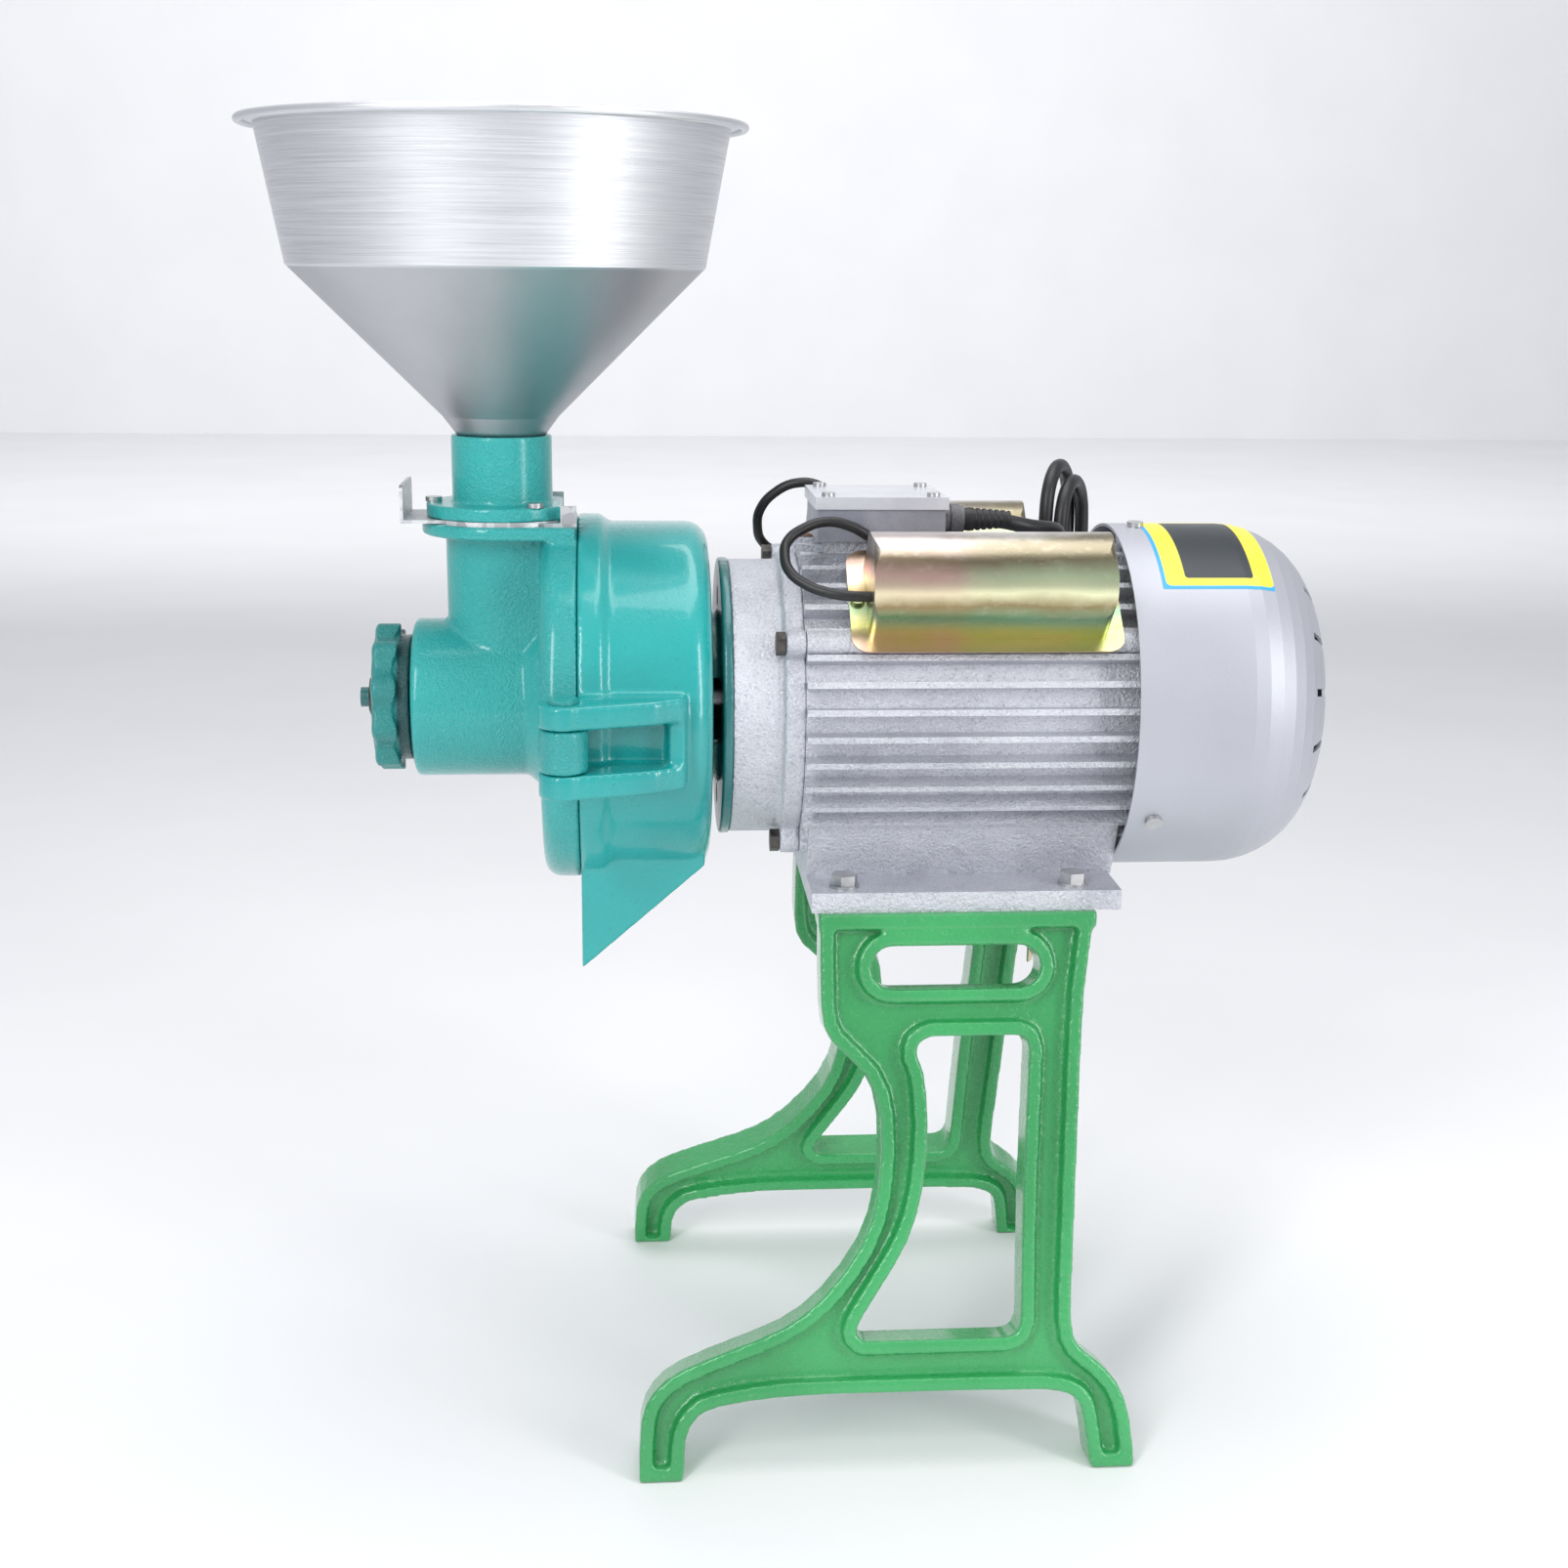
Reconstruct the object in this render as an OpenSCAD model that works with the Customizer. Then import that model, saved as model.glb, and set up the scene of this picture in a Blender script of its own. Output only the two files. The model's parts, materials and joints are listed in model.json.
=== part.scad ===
/* [Stand] */
// Height of the stand, from the floor to the underside of the motor's foot
stand_h = 294; // [250:1:340]
// Distance from the machine's middle to the outside of each foot on the floor
foot_y = 154.5; // [130:0.5:175]
// Distance from the middle to the outside of each leg under the motor
top_y = 87; // [84:0.5:100]
// Length of a leg casting from toe to heel
leg_l = 268; // [240:1:300]
// How far the toe stands ahead of the front foot bolt
leg_toe = 113; // [100:1:126]
// Thickness of the leg casting
leg_t = 24; // [18:0.5:30]
// Thickness of the recessed web
leg_web_t = 9; // [6:0.5:14]
// Width of the raised rim along each edge of the casting
leg_rim = 7.5; // [5:0.5:10]
// Thickness of the flange under the motor's foot
leg_flange_t = 9; // [6:0.5:12]
// Width of that flange across the machine
leg_flange_w = 34; // [30:1:40]

/* [Motor] */
// Height of the shaft above the motor's feet
shaft_h = 102.5; // [98:0.5:112]
// Radius of the frame between its fins
frame_r = 79; // [77:0.5:81]
// Height of the cooling fins
fin_h = 9; // [8:0.5:10]
// Length of the finned frame
frame_l = 178; // [176:1:190]
// Thickness of a cooling fin
fin_t = 3.4; // [2.5:0.1:4]
// Length of the front end shield, its rim left out
shield_l = 27; // [25:0.5:32]
// Length of the rim that carries the shield's ears
rim_l = 11; // [9:0.5:14]
// Length of the motor's foot plate
foot_l = 168; // [165:1:170]
// Half width of the foot plate
foot_half_w = 83; // [81:0.5:86]
// Thickness of the foot plate
foot_t = 11; // [8:0.5:13]
// Distance between the front and rear foot bolts
bolt_b = 125; // [115:1:130]
// Distance between the left and right foot bolts
bolt_a = 140; // [134:1:144]
// Radius of the motor shaft
shaft_r = 12.5; // [11:0.5:14]

/* [Fan cover] */
// Radius of the sheet metal fan cover
fan_cover_r = 96; // [95:0.5:102]
// Length of the fan cover
fan_cover_l = 115; // [105:1:125]
// Thickness of its sheet
sheet_t = 1.6; // [1.2:0.1:2]
// Radius of its rounded rear edge across the axis
fan_edge_r = 46; // [35:1:50]
// Length of its rounded rear edge along the axis
fan_edge_l = 50; // [40:1:55]
// Radius of the cooling fan
fan_r = 80; // [70:1:86]

/* [Electrical parts] */
// Length of the junction box
box_l = 69; // [62:1:74]
// Width of the junction box
box_w = 64; // [56:1:66]
// Height of the junction box under its lid
box_h = 17.5; // [15:0.5:24]
// Thickness of the lid
lid_t = 6.5; // [4:0.5:8]
// Radius of the rounded back of a capacitor cover
cap_r = 25; // [23:0.5:26]
// Height of the straight sides of a capacitor cover
cap_side_h = 19; // [15:0.5:22]
// Length of a capacitor cover
cap_l = 126; // [116:1:127]
// How far round from level the capacitors sit
cap_angle = 45; // [43:1:46]
// Width of the flange round a capacitor cover
cap_flange_w = 8; // [6:0.5:9]
// Diameter of a capacitor lead
lead_d = 5.6; // [4:0.1:6]
// Diameter of the power cord
cord_d = 8.6; // [7:0.1:9]

/* [Grinding drum] */
// Outer radius of the drum's barrel
drum_r = 97; // [95:0.5:98]
// Outer radius of the drum's front flange
flange_r = 101; // [100:0.5:104]
// Depth of the drum from its open front to its back
drum_depth = 70; // [66:0.5:78]
// Wall of the drum
drum_wall = 6; // [4:0.5:8]
// Thickness of the front flange
drum_flange_t = 11.5; // [9:0.5:14]
// Width of the discharge chute across the machine
chute_w = 112; // [90:1:120]
// How far the chute's tip hangs below the shaft
chute_drop = 141; // [130:1:150]
// Wall of the chute
chute_wall = 5; // [4:0.5:7]
// Radius of the round neck between drum and motor
neck_r = 47.3; // [44:0.1:52]
// Length of that neck
neck_l = 5.7; // [5:0.1:8]
// Thickness of the adapter disc bolted to the motor
adapter_t = 5.3; // [4.5:0.1:7]

/* [Front cover] */
// Outer radius of the cover's rim
cover_r = 100; // [98:0.5:103]
// Thickness of the cover from its face to the seam
cover_t = 20; // [18:0.5:24]
// Depth of the shoulder rounded off the cover's face
cover_round = 9; // [6:0.5:10]
// Depth of the hollow behind the cover's face
cover_hollow = 8.5; // [7.5:0.5:10]
// Outer radius of the feed cylinder
cyl_r = 43.5; // [42:0.5:46]
// Bore radius of the feed cylinder
bore_r = 36; // [35.5:0.5:37]
// How far the feed cylinder reaches ahead of the seam
cyl_reach = 90.5; // [88:0.5:95]
// Thickness of the cylinder's front wall
cyl_front_t = 8; // [6:0.5:9]

/* [Hinge and clamp] */
// Distance from the shaft to the hinge pin
pin_y = 117; // [115:0.5:121]
// How far the pin stands ahead of the seam
pin_ahead = 7; // [6:0.5:8]
// Radius of the hinge pin
pin_r = 5; // [4:0.1:6]
// Radius of the hinge bosses
boss_r = 12.8; // [11:0.1:13.5]
// Height of the cover's hinge knuckle
knuckle_h = 23; // [18:0.5:28]
// Thickness of each hinge arm on the drum
arm_t = 12.5; // [9:0.5:14]
// How far the hinge arms run back along the drum
arm_back = 55; // [48:1:60]
// Radius of the clamp screw's thread
clamp_r = 5; // [4:0.5:6]
// Travel of the clamp screw
clamp_travel = 13; // [13:0.5:15]

/* [Feed throat] */
// Distance from the seam to the middle of the feed tube
throat_x = 41; // [40:0.5:43]
// Outer radius of the inlet neck on the cover
inlet_r = 31; // [29:0.5:32]
// Outer radius of the feed tube
tube_r = 27; // [26:0.5:28]
// Bore radius of the feed tube
tube_bore_r = 24; // [23:0.5:25]
// Height of the tube above its flange
tube_h = 36; // [30:0.5:45]
// Radius of the tube's flange
tube_flange_r = 41; // [41:0.5:43]
// Thickness of the tube's flange and of the flange below it
throat_flange_t = 7.2; // [6:0.1:9]
// Height of the lower flange's top face above the shaft
throat_h = 98.5; // [97:0.5:102]
// Thickness of the slide gate's sheet
gate_t = 1.8; // [1.2:0.1:2]
// Width of the slide gate
gate_w = 52; // [50:1:54]
// Travel of the slide gate
gate_travel = 50; // [46:1:52]

/* [Hopper] */
// Radius of the hopper at its rolled rim
hopper_rim_r = 132.5; // [120:0.5:150]
// Radius of the hopper's wall just under the rim
hopper_top_r = 123; // [112:0.5:138]
// Radius of the hopper where its cone begins
hopper_mid_r = 110; // [100:0.5:124]
// Radius of the short steep cone at the bottom
hopper_low_r = 31.2; // [29:0.1:36]
// Radius of the spout that drops into the tube
spout_r = 23.4; // [22:0.1:23.7]
// Height of the hopper's upper band
hopper_band_h = 70; // [60:1:90]
// Height of the hopper's cone
hopper_cone_h = 78; // [65:1:95]
// Height of the short steep cone at the bottom
hopper_low_h = 10.5; // [8:0.5:14]
// Length of the spout inside the tube
spout_l = 18; // [12:0.5:24]
// Thickness of the hopper's sheet
hopper_t = 1.5; // [1:0.1:2]

/* [Grinding discs] */
// Outer radius of both grinding discs
disc_r = 75; // [70:0.5:78]
// Thickness of a disc behind its teeth
disc_t = 8; // [7:0.5:9]
// Height of the teeth
tooth_h = 2.5; // [1.5:0.1:3]
// Number of fine outer teeth on a disc
fine_teeth = 32; // [24:1:40]
// Number of coarse inner teeth on a disc
coarse_teeth = 12; // [8:1:14]
// Eye radius of the fixed disc
eye_r = 35; // [34.5:0.1:36]
// Travel of the moving disc
disc_travel = 3; // [2:0.1:3.2]
// Gap left between the teeth at the finest setting
fine_gap = 0.4; // [0.3:0.1:1]
// Radius of the auger's core
auger_core_r = 10; // [9:0.5:12]
// Turns of the auger's flight
auger_turns = 1.75; // [1:0.25:2.5]

/* [Handwheel] */
// Radius of the handwheel
wheel_r = 41; // [38:0.5:44]
// Thickness of the handwheel's rim
wheel_t = 14; // [11:0.5:16]
// Depth of the lobes round the handwheel
wheel_lobe = 2.4; // [2:0.1:3]
// Number of lobes
wheel_lobes = 10; // [8:1:12]
// Radius of the grooved neck behind the wheel
wheel_neck_r = 34.5; // [30:0.5:35.5]
// Length of that neck
wheel_neck_l = 6; // [5:0.5:8]
// Radius of the thrust screw
screw_r = 9; // [8:0.5:10]
// Radius of the thrust ball
ball_r = 6; // [5:0.1:6.5]

/* [Hidden] */

$fn = 48;
fine_fn = 96;
hull_fn = 32;
// Overrun of every cut
over = 1;
// Gap between pieces that face each other without a fit
seat_gap = 0.3;
// Gap between faces that are bolted together
face_gap = 0.03;
// Radial clearance of a running fit
run_gap = 0.05;
// Radial clearance round a screw
screw_gap = 0.5;
// Depth at which pieces of one casting sink into each other
sink = 1;

fin_r = frame_r + fin_h;
// The front end shield leaves room for the heads of the tie bolts
shield_r = fin_r - 12;

// Places along the shaft, from the seam between cover and drum
adapter_x = drum_depth + neck_l;
shield_x = adapter_x + adapter_t;
rim_x = shield_x + shield_l;
frame_x = rim_x + rim_l;
frame_end = frame_x + frame_l;
foot_x = frame_x + (frame_l - foot_l) / 2 - sink;
foot_bolt_share = 0.43;
bolt_x = foot_x + (foot_l - bolt_b) * foot_bolt_share;
bolt_places = [for (x = [bolt_x, bolt_x + bolt_b], y = [-bolt_a / 2, bolt_a / 2]) [x, y]];
fan_cover_lap = 4;
fan_cover_x = frame_end - fan_cover_lap;
fan_cover_end = fan_cover_x + fan_cover_l;
leg_x = bolt_x - leg_toe;
// Heights
axis_z = stand_h + shaft_h;
foot_top = stand_h + foot_t;
throat_z = axis_z + throat_h;
gate_gap_t = gate_t + 2 * seat_gap;
tube_z = throat_z + gate_gap_t;
tube_top = tube_z + throat_flange_t + tube_h;
// The model stands centred on its own footprint
x_shift = (throat_x + hopper_rim_r - fan_cover_end) / 2;

module place() {
  translate([x_shift, 0, 0]) children();
}

// A child drawn up along +Z is laid along +X from x, on the shaft's axis
module along_x(x) {
  translate([x, 0, axis_z]) rotate([0, 90, 0]) rotate([0, 0, 180]) children();
}

// A straight round bar or bore along +X
module bar_x(x, l, r, fn = fine_fn) {
  along_x(x) cylinder(h = l, r = r, $fn = fn);
}

// Places on a circle about the shaft; angle 0 is level towards the near side
function polar_y(r, a) = -r * cos(a);
function polar_z(r, a) = axis_z + r * sin(a);

// A box that stands on a circle about the shaft, pointing outwards
module radial_box(x, l, r0, r1, t, a) {
  translate([x, 0, axis_z]) rotate([180 - a, 0, 0])
    translate([0, r0, -t / 2]) cube([l, r1 - r0, t]);
}

// The same box as a flat shape, to be drawn up and laid along the shaft
module ray(r0, r1, t, a) {
  rotate(90 - a) translate([r0, -t / 2]) square([r1 - r0, t]);
}

// A smooth run of points through a few chosen ones, ends kept
function blend_point(a, b, c, d, t) =
  0.5 * ((2 * b) + (c - a) * t + (2 * a - 5 * b + 4 * c - d) * t * t
    + (3 * b - a - 3 * c + d) * t * t * t);
function smooth_run(p, steps) = let (n = len(p)) concat(
  [for (i = [0:n - 2], s = [0:steps - 1])
    blend_point(p[max(i - 1, 0)], p[i], p[i + 1], p[min(i + 2, n - 1)], s / steps)],
  [p[n - 1]]);

// An outline moved sideways by d, to the left of its direction
function unit(v) = v / norm(v);
function turned(v) = [-v[1], v[0]];
function moved_point(a, b, c, d) = let (
    n1 = turned(unit(b - a)), n2 = turned(unit(c - b)), m = n1 + n2)
  b + m * d * 2 / (m * m);
function moved_outline(p, d) = let (n = len(p))
  [for (i = [0:n - 1]) moved_point(p[(i + n - 1) % n], p[i], p[(i + 1) % n], d)];
function scaled_points(shares, w, h) = [for (s = shares) [s[0] * w, s[1] * h]];

// The stand

// Outline of a leg as shares of its length and height, in three smooth runs
leg_front_shares = [[0, 0], [0.004, 0.107], [0.03, 0.16], [0.085, 0.197],
  [0.196, 0.235], [0.29, 0.268], [0.368, 0.319], [0.446, 0.41], [0.481, 0.508],
  [0.487, 0.637], [0.459, 0.714], [0.388, 0.778], [0.369, 0.84], [0.369, 1]];
leg_back_shares = [[0.925, 1], [0.901, 0.851], [0.888, 0.625], [0.877, 0.4],
  [0.872, 0.27], [0.886, 0.222], [0.923, 0.194], [0.965, 0.153], [0.99, 0.092], [1, 0]];
leg_under_shares = [[0.91, 0], [0.896, 0.093], [0.882, 0.125], [0.844, 0.141],
  [0.76, 0.146], [0.5, 0.147], [0.3, 0.146], [0.161, 0.131], [0.115, 0.112],
  [0.093, 0.074], [0.088, 0]];
leg_window_shares = [[0.591, 0.782], [0.566, 0.77], [0.562, 0.745], [0.575, 0.715],
  [0.583, 0.623], [0.571, 0.508],
  [0.54, 0.417], [0.485, 0.335], [0.441, 0.273], [0.438, 0.25], [0.452, 0.24]];
leg_window_low_shares = [[0.738, 0.24], [0.76, 0.248], [0.769, 0.267]];
leg_window_side_share = [0.775, 0.5];
leg_window_high_shares = [[0.789, 0.756], [0.782, 0.775], [0.763, 0.782]];
leg_slot_from_share = 0.471;
leg_slot_to_share = 0.813;
leg_slot_z_share = 0.905;
leg_slot_r = 11.5;
leg_steps = 2;
leg_bolt_r = 4;
// Places on the outline where the feet and the flange are drawn past the cut
leg_toe_share = 0.088;
leg_heel_share = 0.91;
leg_flange_from_share = 0.369;
leg_flange_to_share = 0.925;

leg_lean = asin((foot_y - top_y) / norm([foot_y - top_y, stand_h]));
leg_slope_h = stand_h / cos(leg_lean);

leg_outline = concat(
  smooth_run(scaled_points(leg_front_shares, leg_l, leg_slope_h), leg_steps),
  smooth_run(scaled_points(leg_back_shares, leg_l, leg_slope_h), leg_steps),
  smooth_run(scaled_points(leg_under_shares, leg_l, leg_slope_h), leg_steps));
leg_window = concat(
  smooth_run(scaled_points(leg_window_shares, leg_l, leg_slope_h), leg_steps),
  smooth_run(scaled_points(leg_window_low_shares, leg_l, leg_slope_h), leg_steps),
  scaled_points([leg_window_side_share], leg_l, leg_slope_h),
  smooth_run(scaled_points(leg_window_high_shares, leg_l, leg_slope_h), leg_steps));

module leg_slot(d) {
  for (s = [leg_slot_from_share, leg_slot_to_share])
    translate([s * leg_l + (s < 0.6 ? leg_slot_r : -leg_slot_r), leg_slot_z_share * leg_slope_h])
      circle(r = leg_slot_r + d);
  translate([leg_slot_from_share * leg_l + leg_slot_r, leg_slot_z_share * leg_slope_h - leg_slot_r - d])
    square([(leg_slot_to_share - leg_slot_from_share) * leg_l - 2 * leg_slot_r,
      2 * (leg_slot_r + d)]);
}

// The flat face of the casting, or the part of it inside the raised rim
module leg_face(d) {
  difference() {
    polygon(moved_outline(leg_outline, -d));
    polygon(moved_outline(leg_window, -d));
    leg_slot(d);
  }
}

// The face stretched past floor and flange, so that both can be cut level
module leg_slab() {
  linear_extrude(height = leg_t) leg_face(0);
  for (s = [[0, leg_toe_share], [leg_heel_share, 1]])
    translate([s[0] * leg_l, -leg_t * tan(leg_lean), 0])
      cube([(s[1] - s[0]) * leg_l, leg_t * tan(leg_lean) + sink, leg_t]);
  translate([leg_flange_from_share * leg_l, leg_slope_h - sink, 0])
    cube([(leg_flange_to_share - leg_flange_from_share) * leg_l,
      leg_t * tan(leg_lean) + sink, leg_t]);
}

module stand_leg() {
  pocket = (leg_t - leg_web_t) / 2;
  difference() {
    union() {
      intersection() {
        translate([leg_x, -foot_y, 0]) rotate([90 - leg_lean, 0, 0])
          translate([0, 0, -leg_t]) difference() {
            leg_slab();
            for (z = [-over, leg_t - pocket])
              translate([0, 0, z]) linear_extrude(height = pocket + over) leg_face(leg_rim);
          }
        translate([leg_x - over, -foot_y - leg_t, 0])
          cube([leg_l + 2 * over, foot_y + leg_t, stand_h - sink]);
      }
      translate([leg_x + leg_flange_from_share * leg_l - sink, -bolt_a / 2 - leg_flange_w / 2,
          stand_h - leg_flange_t])
        cube([(leg_flange_to_share - leg_flange_from_share) * leg_l + 2 * sink, leg_flange_w,
          leg_flange_t - face_gap]);
    }
    for (p = bolt_places)
      translate([p[0], p[1], stand_h - leg_flange_t - leg_t])
        cylinder(h = leg_flange_t + leg_t + over, r = leg_bolt_r + screw_gap);
    for (p = bolt_places)
      translate([p[0], p[1], stand_h - leg_flange_t - 2 * leg_t])
        cylinder(h = 2 * leg_t, r = nut_r + 2 * screw_gap);
  }
}

module stand_leg_near() {
  color("forestgreen") place() stand_leg();
}
module stand_leg_far() {
  color("forestgreen") place() mirror([0, 1, 0]) stand_leg();
}

// Foot bolts with their washers, and the nuts below
bolt_af = 13;
bolt_head_h = 5.5;
bolt_turn = 12;
nut_h = 6.5;
washer_t = 1.6;
washer_r = 8;
nut_r = bolt_af / 2 / cos(30);

module foot_bolts() {
  color("silver") place() for (p = bolt_places) translate([p[0], p[1], foot_top]) {
    translate([0, 0, face_gap]) cylinder(h = washer_t, r = washer_r);
    translate([0, 0, washer_t]) rotate([0, 0, bolt_turn]) cylinder(h = bolt_head_h, r = nut_r, $fn = 6);
    translate([0, 0, -foot_t - leg_flange_t - nut_h - 2 * sink])
      cylinder(h = foot_t + leg_flange_t + nut_h + 3 * sink, r = leg_bolt_r);
  }
}
module foot_nuts() {
  color("silver") place() for (p = bolt_places)
    translate([p[0], p[1], stand_h - leg_flange_t - nut_h - seat_gap]) difference() {
      cylinder(h = nut_h, r = nut_r, $fn = 6);
      translate([0, 0, -over]) cylinder(h = nut_h + 2 * over, r = leg_bolt_r + run_gap);
    }
}

// The motor

stator_r = 70;
lug_angles = [30, -60, 120, 210];
lug_r = fin_r - 4;
lug_w = 14;
tie_r = 3;
fin_first = -52;
fin_pitch = 9.5;
fin_count = 15;
skirt_foot_w = 94;
skirt_top_w = 124;
skirt_angle = 50;
pad_margin = 4;
pad_h = 4;
box_in = 9;
box_x = frame_x + box_in;
box_z = axis_z + fin_r + 2 * sink;
slot_out = 3.5;

module ear_shapes(r) {
  for (a = lug_angles) {
    ray(r, lug_r, lug_w, a);
    rotate(90 - a) translate([lug_r, 0]) circle(r = lug_w / 2);
  }
}
module tie_holes(x, l, r) {
  for (a = lug_angles) translate([x, polar_y(lug_r, a), polar_z(lug_r, a)])
    rotate([0, 90, 0]) cylinder(h = l, r = r);
}

// Barrel with cooling fins on both sides, one fin on top and the ledges of the tie bolts
module frame_section() {
  circle(r = frame_r, $fn = fine_fn);
  for (i = [0:fin_count - 1], a = [fin_first + i * fin_pitch, 180 - fin_first - i * fin_pitch])
    ray(frame_r - sink, fin_r, fin_t, a);
  ray(frame_r - sink, fin_r, fin_t, 90);
  ear_shapes(frame_r - sink);
}

module motor_frame() {
  color("lightgray") place() difference() {
    union() {
      along_x(frame_x) linear_extrude(height = frame_l) frame_section();
      // Pad under the junction box
      translate([box_x + pad_margin, -box_w / 2 + pad_margin, axis_z + frame_r - pad_h])
        cube([box_l - 2 * pad_margin, box_w - 2 * pad_margin, box_z - axis_z - frame_r + pad_h]);
      cap_screw_places() cylinder(h = fin_r - frame_r + sink, r = cap_boss_r);
      // Foot plate with the skirt that rises from it
      translate([foot_x, -foot_half_w, stand_h]) cube([foot_l, 2 * foot_half_w, foot_t]);
      translate([frame_x + pad_h, 0, 0]) rotate([90, 0, 90])
        linear_extrude(height = frame_l - 2 * pad_h)
        polygon([[-skirt_foot_w / 2, foot_top - sink], [skirt_foot_w / 2, foot_top - sink],
          [skirt_top_w / 2, axis_z - frame_r * sin(skirt_angle) + pad_h],
          [-skirt_top_w / 2, axis_z - frame_r * sin(skirt_angle) + pad_h]]);
    }
    bar_x(frame_x - over, frame_l + 2 * over, stator_r + run_gap);
    tie_holes(frame_x - over, frame_l + 2 * over, tie_r + run_gap);
    for (p = bolt_places) translate([p[0], p[1], stand_h - over]) {
      cylinder(h = foot_t + 2 * over, r = leg_bolt_r + screw_gap);
      translate([slot_out, 0, 0]) cylinder(h = foot_t + 2 * over, r = leg_bolt_r + screw_gap);
      translate([0, -leg_bolt_r - screw_gap, 0])
        cube([slot_out, 2 * (leg_bolt_r + screw_gap), foot_t + 2 * over]);
    }
    cap_screw_places() cylinder(h = 2 * fin_r, r = cap_screw_r + run_gap);
    // Way for the wires into the junction box
    translate([box_x + box_l / 2, 0, axis_z]) cylinder(h = 2 * fin_r, r = wire_hole_r);
  }
}
wire_hole_r = 9;
cap_boss_r = 5;
cap_screw_r = 2;

// A child stands at each of the capacitor covers' screws, out from the frame
module cap_screw_places() {
  for (side = [0, 1], x = [-cap_tab_l / 2, cap_l + cap_tab_l / 2])
    mirror([0, side, 0]) on_shoulder((side == 0 ? cap_near_x : cap_far_x) + x)
      translate([0, 0, frame_r - cap_base - sink]) children();
}

// End shields; each holds a ball bearing
bearing_r = 26;
bearing_w = 15;
bearing_x = shield_x + 5;
rear_bearing_x = frame_end + 2;
shield_wall = 7;
shield_boss_r = 33;
spigot_l = 4;
shield_hole_r = shaft_r + 1.5;

module front_end_shield() {
  color("darkgray") place() difference() {
    union() {
      bar_x(shield_x, shield_l + sink, shield_r);
      along_x(rim_x) linear_extrude(height = rim_l - face_gap) {
        circle(r = frame_r + sink, $fn = fine_fn);
        ear_shapes(shield_r - sink);
      }
      bar_x(rim_x + sink, rim_l + spigot_l - sink, stator_r - seat_gap);
    }
    difference() {
      bar_x(shield_x + shield_wall, frame_x - shield_x, stator_r - shield_wall);
      bar_x(shield_x, bearing_x - shield_x + bearing_w, shield_boss_r);
    }
    bar_x(shield_x - over, frame_x, shield_hole_r);
    bar_x(bearing_x, frame_x, bearing_r + run_gap / 2);
    tie_holes(rim_x - over, rim_l + 2 * over, tie_r + screw_gap);
    for (a = adapter_screw_angles)
      translate([shield_x - over, polar_y(adapter_screw_r, a), polar_z(adapter_screw_r, a)])
        rotate([0, 90, 0]) cylinder(h = shield_wall + 2 * over, r = small_screw_r + run_gap);
  }
}

rear_wall = 6;
rear_l = 21;
module rear_end_shield() {
  color("darkgray") place() difference() {
    union() {
      along_x(frame_end + face_gap) linear_extrude(height = rear_wall) {
        circle(r = frame_r, $fn = fine_fn);
        ear_shapes(frame_r - 4 * sink);
      }
      bar_x(frame_end - spigot_l, spigot_l + 2 * sink, stator_r - seat_gap);
      bar_x(frame_end + sink, rear_l, shield_boss_r);
      // Three feet that carry the fan cover
      for (a = fan_screw_angles)
        radial_box(frame_end + sink, rear_l - 4 * sink, frame_r - 5 * sink,
          fan_cover_r - sheet_t - seat_gap, lug_w, a);
    }
    bar_x(frame_end - spigot_l - over, spigot_l + over, stator_r - shield_wall);
    bar_x(frame_end - spigot_l - over, 3 * rear_l, shield_hole_r);
    bar_x(rear_bearing_x, bearing_w, bearing_r + run_gap / 2);
    bar_x(frame_end - over, rear_bearing_x - frame_end + 2 * over, bearing_r + run_gap / 2);
    tie_holes(frame_end - over, rear_l + 2 * over, tie_r + screw_gap);
    for (a = fan_screw_angles) fan_screw_hole(a, small_screw_r + run_gap);
  }
}

small_screw_r = 2.5;
tie_head_h = 5;
tie_head_r = 5.5 / cos(30);
module shield_bolts() {
  color("silver") place() for (a = lug_angles)
    translate([rim_x, polar_y(lug_r, a), polar_z(lug_r, a)]) rotate([0, 90, 0]) {
      translate([0, 0, -tie_head_h - face_gap]) cylinder(h = tie_head_h, r = tie_head_r, $fn = 6);
      translate([0, 0, -sink]) cylinder(h = frame_end - rim_x + rear_wall + sink, r = tie_r);
      translate([0, 0, frame_end - rim_x + rear_wall + seat_gap])
        cylinder(h = tie_head_h, r = tie_head_r, $fn = 6);
      translate([0, 0, frame_end - rim_x + rear_wall - sink])
        cylinder(h = 2 * sink + tie_head_h, r = tie_r);
    }
}

core_in = 32;
core_x = frame_x + core_in;
core_l = 100;
air_gap = 0.6;
rotor_r = 44;
winding_l = 20;
winding_r = 65;
winding_gap = 5;
module stator_core() {
  color("dimgray") place() difference() {
    bar_x(core_x, core_l, stator_r);
    bar_x(core_x - over, core_l + 2 * over, rotor_r + air_gap);
  }
}
module stator_winding() {
  color("peru") place() for (x = [core_x - winding_l, core_x + core_l]) difference() {
    along_x(x) rotate_extrude($fn = fine_fn) translate([(winding_r + rotor_r + winding_gap) / 2,
      winding_l / 2])
      square([winding_r - rotor_r - winding_gap, winding_l - seat_gap], center = true);
    bar_x(x - over, sink, rotor_r);
  }
}
module bearings() {
  color("silver") place() for (x = [bearing_x, rear_bearing_x]) difference() {
    bar_x(x, bearing_w - seat_gap, bearing_r);
    bar_x(x - over, bearing_w + 2 * over, shaft_r + run_gap / 2);
  }
}

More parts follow.
